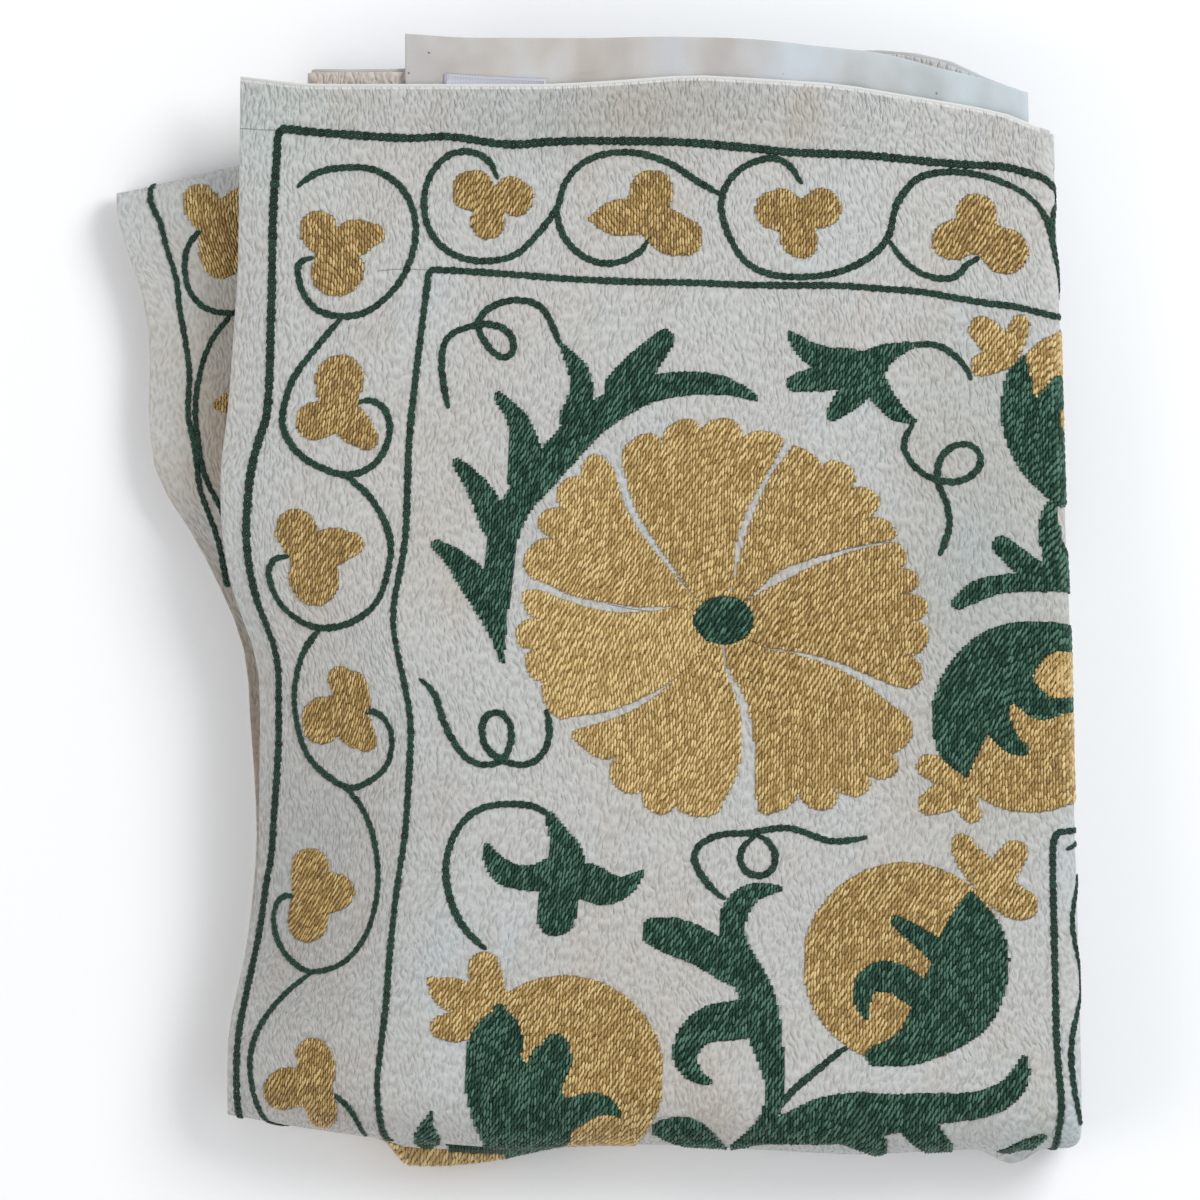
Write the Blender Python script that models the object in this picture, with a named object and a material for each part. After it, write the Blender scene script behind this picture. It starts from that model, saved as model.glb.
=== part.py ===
"""A suzani: a lined cotton cloth embroidered in silk, folded to a sixteenth of its size.

The cloth is folded in half twice across and twice down, so sixteen layers lie on each other.
Everything is worked out on the flat cloth, as u across, v down and w through its thickness,
and one set of functions then folds every piece the same way, so the pieces never cross.
Metres, +Z up, with the middle of the underside at the origin.
"""

from collections import namedtuple
from math import cos, pi, sin

import bmesh
import bpy
from mathutils import Vector

MM = 0.001

# Thicknesses, through one layer and between layers
FACE_THICK = 1.0 * MM
LINING_THICK = 1.0 * MM
LABEL_THICK = 0.5 * MM
SEWN_GAP = 0.3 * MM
LAYER_GAP = 0.4 * MM
LABEL_ROOM = 0.7 * MM
HALVES_GAP = 1.2 * MM
PITCH = FACE_THICK + LINING_THICK + SEWN_GAP + LAYER_GAP
STACK = 4 * PITCH + LABEL_ROOM
PAIR = 2 * STACK

# Height of each column's middle in a stack of four layers
SECOND_LEVEL = 0.5 * PITCH
THIRD_LEVEL = 1.5 * PITCH
FOURTH_LEVEL = 2.5 * PITCH
FIRST_LEVEL = 3.5 * PITCH + LABEL_ROOM

# Fold lines, right of the front layer's left hem and down from its top hem
RIGHT_FOLD = 0.3264
LEFT_FOLD = 0.0297
INNER_RIGHT_FOLD = 0.3195
FAR_SIDE_HEM = 0.066
BOTTOM_FOLD = 0.4035
TOP_FOLD = 0.0425
INNER_BOTTOM_FOLD = 0.3995
FAR_TOP_HEM = 0.012

# Places where a straight run is divided, so that facets of neighbouring layers match
ACROSS_STATIONS = (0.048, 0.066, 0.09, 0.18, 0.25, 0.29)
DOWN_STATIONS = (0.10, 0.155, 0.21, 0.265, 0.32, 0.365)

# The label, sewn on the lining near the corner of the last column
LABEL_WIDE = 0.042
LABEL_DEEP = 0.018
LABEL_FROM_SIDE_HEM = 0.016
LABEL_FROM_TOP_HEM = 0.0135

# A run is one straight stretch of cloth. Its nose is the turn that follows it.
Run = namedtuple("Run", "start end level side nose segments")

COLUMNS = (
    Run(start=0.0, end=RIGHT_FOLD, level=FIRST_LEVEL, side=1,
        nose=pi * (FIRST_LEVEL - SECOND_LEVEL) / 2, segments=5),
    Run(start=RIGHT_FOLD, end=LEFT_FOLD, level=SECOND_LEVEL, side=-1,
        nose=pi * PITCH / 2, segments=4),
    Run(start=LEFT_FOLD, end=INNER_RIGHT_FOLD, level=THIRD_LEVEL, side=1,
        nose=pi * PITCH / 2, segments=4),
    Run(start=INNER_RIGHT_FOLD, end=FAR_SIDE_HEM, level=FOURTH_LEVEL, side=-1,
        nose=0.0, segments=0),
)
ROWS = (
    Run(start=0.0, end=BOTTOM_FOLD, level=3 * STACK + HALVES_GAP, side=1,
        nose=pi * (STACK + HALVES_GAP / 2 + FIRST_LEVEL), segments=6),
    Run(start=BOTTOM_FOLD, end=TOP_FOLD, level=STACK, side=-1,
        nose=pi * FIRST_LEVEL, segments=5),
    Run(start=TOP_FOLD, end=INNER_BOTTOM_FOLD, level=STACK, side=1,
        nose=pi * (STACK + HALVES_GAP) / 2, segments=4),
    Run(start=INNER_BOTTOM_FOLD, end=FAR_TOP_HEM, level=3 * STACK + HALVES_GAP, side=-1,
        nose=0.0, segments=0),
)

# Layers of one stack, from the floor up, and where each has ended towards the left
Layer = namedtuple("Layer", "top edge")
LAYERS = (
    Layer(top=2 * PITCH, edge=LEFT_FOLD - 0.0025),
    Layer(top=3 * PITCH, edge=FAR_SIDE_HEM),
)
SINK_SHARE = 0.9
SINK_REACH = 0.070

# The top hem's rise and fall along each column, down positive
Drift = namedtuple("Drift", "across down")
FIRST_HEM = (
    Drift(across=0.0, down=-0.004),
    Drift(across=0.024, down=0.0),
    Drift(across=0.128, down=0.001),
    Drift(across=0.184, down=-0.0015),
    Drift(across=0.244, down=0.002),
    Drift(across=0.284, down=0.008),
    Drift(across=RIGHT_FOLD, down=0.020),
)
SECOND_HEM = (
    Drift(across=LEFT_FOLD, down=-0.006),
    Drift(across=RIGHT_FOLD, down=0.020),
)
THIRD_HEM = (
    Drift(across=FAR_SIDE_HEM, down=-0.006),
    Drift(across=0.18, down=-0.012),
    Drift(across=0.252, down=-0.015),
    Drift(across=0.276, down=-0.010),
    Drift(across=INNER_RIGHT_FOLD, down=0.003),
)
FOURTH_HEM = (
    Drift(across=FAR_SIDE_HEM, down=-0.020),
    Drift(across=0.144, down=-0.019),
    Drift(across=0.204, down=-0.018),
    Drift(across=0.256, down=-0.013),
    Drift(across=0.304, down=-0.005),
    Drift(across=INNER_RIGHT_FOLD, down=0.003),
)
COLUMN_HEMS = (FIRST_HEM, SECOND_HEM, THIRD_HEM, FOURTH_HEM)

# The rear half's top fold, which falls to the left
REAR_TOP = (
    Drift(across=0.0, down=0.0108),
    Drift(across=0.049, down=0.0),
    Drift(across=0.109, down=-0.010),
    Drift(across=0.209, down=-0.0192),
    Drift(across=RIGHT_FOLD, down=-0.0175),
)

# How far the rear half has slipped out to the left
Slip = namedtuple("Slip", "down left")
REAR_SLIP = (
    Slip(down=0.042, left=0.049),
    Slip(down=0.074, left=0.042),
    Slip(down=0.098, left=0.036),
    Slip(down=0.134, left=0.032),
    Slip(down=0.162, left=0.025),
    Slip(down=0.184, left=0.014),
    Slip(down=0.202, left=0.005),
    Slip(down=0.224, left=0.002),
    Slip(down=0.300, left=0.0015),
    Slip(down=0.360, left=0.0),
)

# The lean of the whole pile, at its left hem, at the inner border line and at its right fold
Lean = namedtuple("Lean", "down hem inner right")
LEAN_INNER = 0.074
LEAN_RIGHT = 0.332
LEANS = (
    Lean(down=0.0, hem=0.0, inner=0.0, right=-0.006),
    Lean(down=0.074, hem=0.0, inner=0.0, right=-0.0036),
    Lean(down=0.138, hem=-0.0045, inner=-0.006, right=-0.0025),
    Lean(down=0.182, hem=-0.004, inner=-0.008, right=-0.0015),
    Lean(down=0.214, hem=0.002, inner=-0.013, right=0.0),
    Lean(down=0.254, hem=0.009, inner=-0.006, right=0.001),
    Lean(down=0.298, hem=0.009, inner=-0.008, right=0.002),
    Lean(down=0.326, hem=0.007, inner=-0.012, right=0.003),
    Lean(down=0.366, hem=0.0, inner=-0.016, right=0.004),
    Lean(down=0.412, hem=-0.004, inner=-0.0185, right=0.005),
)

# The bottom fold's outline, and two lips where the rear half bulges past the front
BOTTOM_EASE_START = 0.33
BOTTOM_EDGE = (
    Drift(across=0.0, down=-0.014),
    Drift(across=0.04, down=-0.007),
    Drift(across=0.08, down=-0.003),
    Drift(across=0.12, down=0.0),
    Drift(across=0.18, down=-0.002),
    Drift(across=0.25, down=0.003),
    Drift(across=0.29, down=-0.003),
    Drift(across=RIGHT_FOLD, down=0.0),
)
Lip = namedtuple("Lip", "across half_width reach")
LIPS = (
    Lip(across=0.082, half_width=0.034, reach=0.009),
    Lip(across=0.322, half_width=0.030, reach=0.006),
)
LIP_EASE = 0.010


def eased(value):
    """A smooth step from 0 to 1."""
    value = min(max(value, 0.0), 1.0)
    return value * value * (3.0 - 2.0 * value)


def between(table, place):
    """The other columns of a table, in line between the rows on either side of a place."""
    if place <= table[0][0]:
        return table[0][1:]
    for low, high in zip(table, table[1:]):
        if place <= high[0]:
            share = (place - low[0]) / (high[0] - low[0])
            return [a + (b - a) * share for a, b in zip(low[1:], high[1:])]
    return table[-1][1:]


def folded(runs, flat, offset):
    """A place on the flat cloth, folded: how far along, how high, and in which run."""
    for number, run in enumerate(runs):
        length = abs(run.end - run.start)
        heading = 1.0 if run.end > run.start else -1.0
        if flat <= length or run is runs[-1]:
            return run.start + heading * flat, run.level + run.side * offset, number
        flat -= length
        if flat < run.nose:
            centre = (run.level + runs[number + 1].level) / 2
            turn = pi * flat / run.nose
            reach = run.level + run.side * offset - centre
            return run.end + heading * abs(reach) * sin(turn), centre + reach * cos(turn), number
        flat -= run.nose


def stack_height(across, height):
    """A height in one stack, where the layers that have ended no longer hold it up."""
    total = 0.0
    done = 0.0
    for layer in LAYERS:
        share = 1.0 - SINK_SHARE * eased((layer.edge - across) / SINK_REACH)
        total += share * (min(height, layer.top) - done)
        done = min(height, layer.top)
    return total + height - done


def pair_height(across, level):
    """A height in two stacks that lie back to back."""
    full = stack_height(across, STACK)
    if level < STACK:
        return full - stack_height(across, STACK - level)
    return full + stack_height(across, level - STACK)


def hem_drift(column, row, across):
    """How far the top end of a layer has moved down. The last row, hidden inside, stays."""
    if row == 0:
        return between(COLUMN_HEMS[column], across)[0]
    if row < len(ROWS) - 1:
        return between(REAR_TOP, across)[0]
    return 0.0


def settled(across, down, level):
    """Sink, slip and lean: the pile as it really lies."""
    slip = between(REAR_SLIP, down)[0]
    if level < PAIR + HALVES_GAP / 2:
        level = pair_height(across, level)
        across -= slip
    else:
        rear_top = 2 * stack_height(across + slip, STACK) + HALVES_GAP
        level = rear_top + pair_height(across, level - PAIR - HALVES_GAP)

    hem, inner, right = between(LEANS, down)
    if across < LEAN_INNER:
        share = max(across, 0.0) / LEAN_INNER
        lean = hem + (inner - hem) * share
    else:
        share = min((across - LEAN_INNER) / (LEAN_RIGHT - LEAN_INNER), 1.0)
        lean = inner + (right - inner) * share

    edge = between(BOTTOM_EDGE, across)[0]
    edge *= eased((down - BOTTOM_EASE_START) / (BOTTOM_FOLD - BOTTOM_EASE_START))
    for lip in LIPS:
        beside = eased(1.0 - abs(across - lip.across) / lip.half_width)
        low = eased(2.0 - 2.0 * level / PAIR)
        edge += lip.reach * beside * low * eased((down - BOTTOM_FOLD) / LIP_EASE)
    return across + lean, down + edge, level


def folded_place(u, v, w):
    """Where a place on the flat cloth lies in the folded pile."""
    across, height, column = folded(COLUMNS, u, w)
    down, level, row = folded(ROWS, v, height)
    fade = max(0.0, 1.0 - down / INNER_BOTTOM_FOLD)
    down += hem_drift(column, row, across) * fade
    across, down, level = settled(across, down, level)
    return Vector((across, -down, level))


def stations(runs, divisions):
    """Flat places of the grid lines: the divided runs and the segments of each nose."""
    flat = 0.0
    lines = [(0.0, 1)]
    for run in runs:
        length = abs(run.end - run.start)
        low, high = sorted((run.start, run.end))
        inner = [place for place in divisions if low < place < high]
        steps = sorted(abs(place - run.start) for place in inner + [run.end])
        lines += [(flat + step, run.side) for step in steps]
        flat += length
        for segment in range(run.segments):
            lines.append((flat + run.nose * (segment + 1) / run.segments, run.side))
        flat += run.nose
    return lines


def flat_slab(u_lines, v_lines, low, high):
    """A slab over the grid lines, flat, with matching diagonals in layers that face each other."""
    mesh = bmesh.new()
    columns = len(u_lines) - 1
    rows = len(v_lines) - 1
    bmesh.ops.create_grid(mesh, x_segments=columns, y_segments=rows, size=0.5)
    leaning = {1: [], -1: []}
    for face in mesh.faces:
        middle = face.calc_center_median()
        column = int((middle.x + 0.5) * columns)
        row = int((middle.y + 0.5) * rows)
        leaning[u_lines[column + 1][1] * v_lines[row + 1][1]].append(face)
    bmesh.ops.triangulate(mesh, faces=leaning[1], quad_method="FIXED")
    bmesh.ops.triangulate(mesh, faces=leaning[-1], quad_method="ALTERNATE")
    for vert in mesh.verts:
        column = round((vert.co.x + 0.5) * columns)
        row = round((vert.co.y + 0.5) * rows)
        vert.co = Vector((u_lines[column][0], v_lines[row][0], low))
    raised = bmesh.ops.extrude_face_region(mesh, geom=mesh.faces[:], use_keep_orig=True)
    tops = [item for item in raised["geom"] if isinstance(item, bmesh.types.BMVert)]
    bmesh.ops.translate(mesh, verts=tops, vec=(0.0, 0.0, high - low))
    return mesh


def fold_piece(name, slab, material, collection):
    """Fold a flat slab and make it an object."""
    for vert in slab.verts:
        vert.co = folded_place(*vert.co)
    bmesh.ops.triangulate(slab, faces=slab.faces[:])
    bmesh.ops.recalc_face_normals(slab, faces=slab.faces[:])
    data = bpy.data.meshes.new(name)
    slab.to_mesh(data)
    slab.free()
    data.materials.append(material)
    data.shade_smooth()
    piece = bpy.data.objects.new(name, data)
    collection.objects.link(piece)
    return piece


def cloth(name, colour, roughness):
    """A plain woven finish."""
    material = bpy.data.materials.new(name)
    material.use_nodes = True
    shader = material.node_tree.nodes["Principled BSDF"]
    shader.inputs["Base Color"].default_value = (*colour, 1.0)
    shader.inputs["Roughness"].default_value = roughness
    shader.inputs["Metallic"].default_value = 0.0
    return material


def make_face_cloth(collection):
    """The embroidered cotton ground, one cut length."""
    low = SEWN_GAP / 2
    slab = flat_slab(stations(COLUMNS, ACROSS_STATIONS), stations(ROWS, DOWN_STATIONS),
                     low, low + FACE_THICK)
    return fold_piece("face_cloth", slab, cloth("embroidered_cotton", (0.62, 0.59, 0.54), 0.85),
                      collection)


def make_lining(collection):
    """The backing, cut to the same size."""
    high = -SEWN_GAP / 2
    slab = flat_slab(stations(COLUMNS, ACROSS_STATIONS), stations(ROWS, DOWN_STATIONS),
                     high - LINING_THICK, high)
    return fold_piece("lining", slab, cloth("lining_cotton", (0.66, 0.64, 0.60), 0.8), collection)


def make_label(collection):
    """A small blank label on the lining, near the last column's top corner."""
    cloth_width = stations(COLUMNS, ACROSS_STATIONS)[-1][0]
    side = cloth_width - LABEL_FROM_SIDE_HEM
    u_lines = [(side - LABEL_WIDE, 1), (side - LABEL_WIDE / 2, 1), (side, 1)]
    v_lines = [(LABEL_FROM_TOP_HEM, 1), (LABEL_FROM_TOP_HEM + LABEL_DEEP, 1)]
    high = -SEWN_GAP / 2 - LINING_THICK - SEWN_GAP
    slab = flat_slab(u_lines, v_lines, high - LABEL_THICK, high)
    return fold_piece("label", slab, cloth("label_tape", (0.70, 0.74, 0.80), 0.7), collection)


def stand_on_origin(pieces):
    """Move the pile so that the middle of its underside is the origin."""
    corners = [vert.co for piece in pieces for vert in piece.data.vertices]
    low = Vector([min(corner[axis] for corner in corners) for axis in range(3)])
    high = Vector([max(corner[axis] for corner in corners) for axis in range(3)])
    shift = Vector(((low.x + high.x) / 2, (low.y + high.y) / 2, low.z))
    for piece in pieces:
        for vert in piece.data.vertices:
            vert.co -= shift


def main():
    for item in list(bpy.data.objects):
        bpy.data.objects.remove(item)
    collection = bpy.data.collections.new("folded_suzani")
    bpy.context.scene.collection.children.link(collection)
    pieces = [make_face_cloth(collection), make_lining(collection), make_label(collection)]
    stand_on_origin(pieces)


main()
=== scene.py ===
"""The looks of a folded suzani: cotton ground, lining, blank label and silk stitching.

Every piece is drawn on the flat cloth, as u across, v down and w through its thickness in
metres, and then folded by one set of functions, so the stitches follow the cloth round its folds.
"""
from collections import namedtuple
from math import ceil, cos, pi, radians, sin

import bmesh
import bpy
import numpy as np
from mathutils import Matrix, Vector


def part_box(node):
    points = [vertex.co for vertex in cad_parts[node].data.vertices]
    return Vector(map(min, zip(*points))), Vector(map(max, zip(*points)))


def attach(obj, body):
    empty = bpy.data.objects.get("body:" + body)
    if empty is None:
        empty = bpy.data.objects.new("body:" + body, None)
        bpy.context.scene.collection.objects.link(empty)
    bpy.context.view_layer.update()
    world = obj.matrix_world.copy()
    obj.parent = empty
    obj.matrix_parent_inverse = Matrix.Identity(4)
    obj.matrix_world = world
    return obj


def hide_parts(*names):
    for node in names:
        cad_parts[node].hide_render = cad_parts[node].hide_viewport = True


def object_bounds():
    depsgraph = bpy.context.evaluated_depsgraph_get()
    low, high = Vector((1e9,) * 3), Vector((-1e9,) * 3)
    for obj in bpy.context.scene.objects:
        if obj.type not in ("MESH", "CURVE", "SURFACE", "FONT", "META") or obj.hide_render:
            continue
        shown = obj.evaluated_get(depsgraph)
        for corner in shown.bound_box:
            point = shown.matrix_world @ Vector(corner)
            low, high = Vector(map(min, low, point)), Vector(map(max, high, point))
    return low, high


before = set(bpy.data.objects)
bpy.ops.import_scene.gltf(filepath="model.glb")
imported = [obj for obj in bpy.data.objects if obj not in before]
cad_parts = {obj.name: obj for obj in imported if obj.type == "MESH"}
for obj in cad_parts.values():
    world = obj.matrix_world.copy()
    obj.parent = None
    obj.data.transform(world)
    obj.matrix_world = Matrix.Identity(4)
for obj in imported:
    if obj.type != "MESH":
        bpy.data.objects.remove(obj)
CAD_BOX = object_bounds()
RNG = np.random.default_rng(7)
MM = 0.001

# Thicknesses, through one layer and between layers
FACE_THICK = 1.0 * MM
LINING_THICK = 1.0 * MM
LABEL_THICK = 0.5 * MM
SEWN_GAP = 0.3 * MM
LAYER_GAP = 0.4 * MM
LABEL_ROOM = 0.7 * MM
HALVES_GAP = 1.2 * MM
PITCH = FACE_THICK + LINING_THICK + SEWN_GAP + LAYER_GAP
STACK = 4 * PITCH + LABEL_ROOM
PAIR = 2 * STACK
SURFACE = SEWN_GAP / 2 + FACE_THICK

# Height of each column's middle in a stack of four layers
SECOND_LEVEL = 0.5 * PITCH
THIRD_LEVEL = 1.5 * PITCH
FOURTH_LEVEL = 2.5 * PITCH
FIRST_LEVEL = 3.5 * PITCH + LABEL_ROOM

# Fold lines, right of the front layer's left hem and down from its top hem
RIGHT_FOLD = 0.3264
LEFT_FOLD = 0.0297
INNER_RIGHT_FOLD = 0.3195
FAR_SIDE_HEM = 0.066
BOTTOM_FOLD = 0.4035
TOP_FOLD = 0.0425
INNER_BOTTOM_FOLD = 0.3995
FAR_TOP_HEM = 0.012

# A run is one straight stretch of cloth. Its nose is the turn that follows it.
Run = namedtuple("Run", "start end level side nose")
COLUMNS = (
    Run(0.0, RIGHT_FOLD, FIRST_LEVEL, 1, pi * (FIRST_LEVEL - SECOND_LEVEL) / 2),
    Run(RIGHT_FOLD, LEFT_FOLD, SECOND_LEVEL, -1, pi * PITCH / 2),
    Run(LEFT_FOLD, INNER_RIGHT_FOLD, THIRD_LEVEL, 1, pi * PITCH / 2),
    Run(INNER_RIGHT_FOLD, FAR_SIDE_HEM, FOURTH_LEVEL, -1, 0.0),
)
ROWS = (
    Run(0.0, BOTTOM_FOLD, 3 * STACK + HALVES_GAP, 1,
        pi * (STACK + HALVES_GAP / 2 + FIRST_LEVEL)),
    Run(BOTTOM_FOLD, TOP_FOLD, STACK, -1, pi * FIRST_LEVEL),
    Run(TOP_FOLD, INNER_BOTTOM_FOLD, STACK, 1, pi * (STACK + HALVES_GAP) / 2),
    Run(INNER_BOTTOM_FOLD, FAR_TOP_HEM, 3 * STACK + HALVES_GAP, -1, 0.0),
)
CLOTH_WIDTH = sum(abs(run.end - run.start) + run.nose for run in COLUMNS)
SIDE_NOSE_REACH = (FIRST_LEVEL - SECOND_LEVEL) / 2 + SURFACE
END_NOSE_REACH = STACK + HALVES_GAP / 2 + FIRST_LEVEL + SURFACE

# Layers of one stack, from the floor up, and where each has ended towards the left
Layer = namedtuple("Layer", "top edge")
LAYERS = (Layer(2 * PITCH, LEFT_FOLD - 0.0025), Layer(3 * PITCH, FAR_SIDE_HEM))
SINK_SHARE = 0.9
SINK_REACH = 0.070

# How the pile really lies: each row gives a place in metres and what is true there
COLUMN_HEMS = (
    ((0.0, -0.0028), (0.024, 0.0008), (0.128, 0.0008), (0.155, -0.0008), (0.184, -0.0030),
     (0.212, -0.0014), (0.244, 0.0006), (0.284, 0.0072), (0.300, 0.0098), (0.318, 0.0135),
     (RIGHT_FOLD, 0.0200)),
    ((LEFT_FOLD, -0.0053), (RIGHT_FOLD, 0.020)),
    ((FAR_SIDE_HEM, -0.0053), (0.18, -0.012), (0.240, -0.0125), (0.259, -0.0131),
     (0.275, -0.0121), (0.285, -0.0103), (0.294, -0.0076), (0.301, -0.0040), (0.310, 0.0010),
     (INNER_RIGHT_FOLD, 0.0045)),
    ((FAR_SIDE_HEM, -0.0196), (0.075, -0.0186), (0.090, -0.0177), (0.148, -0.0176),
     (0.168, -0.0183), (0.204, -0.0176), (0.220, -0.0163), (0.236, -0.0143), (0.252, -0.0128),
     (0.260, -0.0120), (0.268, -0.0105), (0.277, -0.0078), (0.285, -0.0055), (0.300, -0.0026),
     (0.309, 0.0003), (INNER_RIGHT_FOLD, 0.0035)),
)
REAR_TOP = ((0.0, 0.0128), (0.049, 0.0), (0.109, -0.010), (0.209, -0.0192),
            (0.280, -0.0165), (RIGHT_FOLD, -0.0080))
LAST_TOP = ((0.0, 0.0), (0.270, 0.0), (RIGHT_FOLD, 0.016))
REAR_SLIP = ((0.042, 0.050), (0.058, 0.0485), (0.070, 0.0430), (0.084, 0.0378),
             (0.096, 0.0346), (0.106, 0.0330), (0.130, 0.0327), (0.142, 0.0296),
             (0.154, 0.0275), (0.166, 0.0213), (0.178, 0.0122), (0.190, 0.0082),
             (0.202, 0.0045), (0.214, 0.0032), (0.226, 0.0046), (0.250, 0.0047),
             (0.274, 0.0024), (0.300, 0.0010), (0.322, 0.0014), (0.340, 0.0010), (0.360, 0.0))
LEAN_AT_HEM = ((0.0, 0.0), (0.074, -0.001), (0.130, -0.0050), (0.154, -0.0082),
               (0.178, -0.0078), (0.200, -0.0042), (0.216, 0.0016), (0.230, 0.0072),
               (0.248, 0.0078), (0.310, 0.0072), (0.334, 0.0048), (0.366, -0.0008),
               (0.394, -0.0052), (0.412, -0.0055))
LEAN_AT_INNER = ((0.0, 0.0), (0.074, 0.0), (0.138, -0.006), (0.182, -0.008), (0.214, -0.013),
                 (0.254, -0.006), (0.298, -0.008), (0.326, -0.012), (0.366, -0.016),
                 (0.412, -0.0185))
LEAN_AT_RIGHT = ((0.0, -0.0070), (0.050, -0.0058), (0.074, -0.0046), (0.138, -0.0028),
                 (0.182, -0.0015), (0.214, 0.0), (0.254, 0.001), (0.298, 0.002),
                 (0.326, 0.003), (0.366, 0.004), (0.412, 0.005))
LEAN_INNER = 0.074
LEAN_RIGHT = 0.332
BOTTOM_EASE_START = 0.33
BOTTOM_EDGE = ((0.0, -0.0145), (0.03, -0.0099), (0.08, -0.0042), (0.12, -0.0008),
               (0.15, -0.0028), (0.18, -0.0024), (0.25, 0.0018), (0.29, -0.0005),
               (RIGHT_FOLD, -0.001))
Lip = namedtuple("Lip", "across left right reach")
LIPS = (Lip(0.085, 0.013, 0.076, 0.0124), Lip(0.307, 0.018, 0.0158, 0.0098))
LIP_EASE = 0.010
ROUNDING = 0.008

# Soft swells of the front layer: place, size along and across, turn in degrees, height
Swell = namedtuple("Swell", "across down along beside turn height")
SWELLS = (
    Swell(0.084, 0.016, 0.016, 0.006, 90, 1.6 * MM),
    Swell(0.108, 0.014, 0.014, 0.005, 80, 1.3 * MM),
    Swell(0.140, 0.016, 0.016, 0.006, 95, 1.5 * MM),
    Swell(0.172, 0.013, 0.012, 0.006, 88, 1.3 * MM),
    Swell(0.060, 0.196, 0.050, 0.013, 80, 1.3 * MM),
    Swell(0.006, 0.250, 0.060, 0.012, 100, 1.2 * MM),
    Swell(0.075, 0.330, 0.060, 0.012, 97, 1.0 * MM),
    Swell(0.290, 0.180, 0.070, 0.016, 100, 1.2 * MM),
    Swell(0.305, 0.330, 0.070, 0.012, 90, 1.1 * MM),
    Swell(0.150, 0.300, 0.060, 0.020, 20, 0.9 * MM),
    Swell(0.230, 0.130, 0.050, 0.020, 150, 0.8 * MM),
    Swell(0.120, 0.085, 0.040, 0.018, 10, 0.8 * MM),
)

# Creases in the strip of lining that shows above the front layer
CREASES = (
    Swell(0.094, -0.0125, 0.013, 0.0022, -20, 2.0 * MM),
    Swell(0.134, -0.0050, 0.015, 0.0020, -12, 1.6 * MM),
    Swell(0.075, -0.0110, 0.009, 0.0030, 80, 1.2 * MM),
    Swell(0.180, -0.0110, 0.016, 0.0040, 85, 1.2 * MM),
    Swell(0.222, -0.0080, 0.014, 0.0040, 70, 1.1 * MM),
    Swell(0.258, -0.0030, 0.014, 0.0040, 75, 1.2 * MM),
    Swell(0.290, 0.0030, 0.012, 0.0035, 80, 1.0 * MM),
)


def eased(value):
    """A smooth step from 0 to 1."""
    value = np.clip(value, 0.0, 1.0)
    return value * value * (3.0 - 2.0 * value)


def between(table, place, reach=ROUNDING):
    """What a table gives at each place, in line between its rows, with the corners rounded."""
    places, values = zip(*table)
    taps = (-1.0, -0.5, 0.0, 0.5, 1.0)
    return sum(np.interp(place + tap * reach, places, values) for tap in taps) / len(taps)


def folded(runs, flat, offset):
    """Places on the flat cloth, folded: how far along, how high, and in which run."""
    along = np.zeros_like(flat)
    height = np.zeros_like(flat)
    number = np.zeros(len(flat), int)
    left = flat.copy()
    waiting = np.ones(len(flat), bool)
    for index, run in enumerate(runs):
        length = abs(run.end - run.start)
        heading = 1.0 if run.end > run.start else -1.0
        here = waiting & ((left <= length) | (run is runs[-1]))
        along[here] = run.start + heading * left[here]
        height[here] = run.level + run.side * offset[here]
        number[here] = index
        waiting &= ~here
        if run is runs[-1]:
            break
        left = left - length
        here = waiting & (left < run.nose)
        centre = (run.level + runs[index + 1].level) / 2
        turn = pi * left[here] / run.nose
        reach = run.level + run.side * offset[here] - centre
        along[here] = run.end + heading * np.abs(reach) * np.sin(turn)
        height[here] = centre + reach * np.cos(turn)
        number[here] = index
        waiting &= ~here
        left = left - run.nose
    return along, height, number


def stack_height(across, height):
    """A height in one stack, where the layers that have ended no longer hold it up."""
    total = 0.0
    done = 0.0
    for layer in LAYERS:
        share = 1.0 - SINK_SHARE * eased((layer.edge - across) / SINK_REACH)
        reached = np.minimum(height, layer.top)
        total = total + share * (reached - done)
        done = reached
    return total + height - done


def pair_height(across, level):
    """A height in two stacks that lie back to back."""
    full = stack_height(across, np.full_like(across, STACK))
    part = stack_height(across, np.abs(level - STACK))
    return np.where(level < STACK, full - part, full + part)


def lean(across, down):
    """How far the pile leans to the right at a place seen from above."""
    hem = between(LEAN_AT_HEM, down)
    inner = between(LEAN_AT_INNER, down)
    right = between(LEAN_AT_RIGHT, down)
    near = hem + (inner - hem) * np.clip(across, 0.0, LEAN_INNER) / LEAN_INNER
    share = np.clip((across - LEAN_INNER) / (LEAN_RIGHT - LEAN_INNER), 0.0, 1.0)
    return np.where(across < LEAN_INNER, near, inner + (right - inner) * share)


def bottom_edge(across, down, level):
    """How far the bottom fold is pushed out, with the rear half's lips."""
    edge = between(BOTTOM_EDGE, across)
    edge = edge * eased((down - BOTTOM_EASE_START) / (BOTTOM_FOLD - BOTTOM_EASE_START))
    low = eased(2.0 - 2.0 * level / PAIR)
    for lip in LIPS:
        aside = across - lip.across
        beside = eased(1.0 - np.abs(aside) / np.where(aside < 0.0, lip.left, lip.right))
        edge = edge + lip.reach * beside * low * eased((down - BOTTOM_FOLD) / LIP_EASE)
    return edge


def swell(bumps, across, down):
    """Soft rises, long one way and narrow the other."""
    rise = np.zeros_like(across)
    for bump in bumps:
        turn = radians(bump.turn)
        x = across - bump.across
        y = down - bump.down
        along = (x * cos(turn) + y * sin(turn)) / bump.along
        beside = (y * cos(turn) - x * sin(turn)) / bump.beside
        rise = rise + bump.height * np.exp(-along ** 2 - beside ** 2)
    return rise


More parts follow.
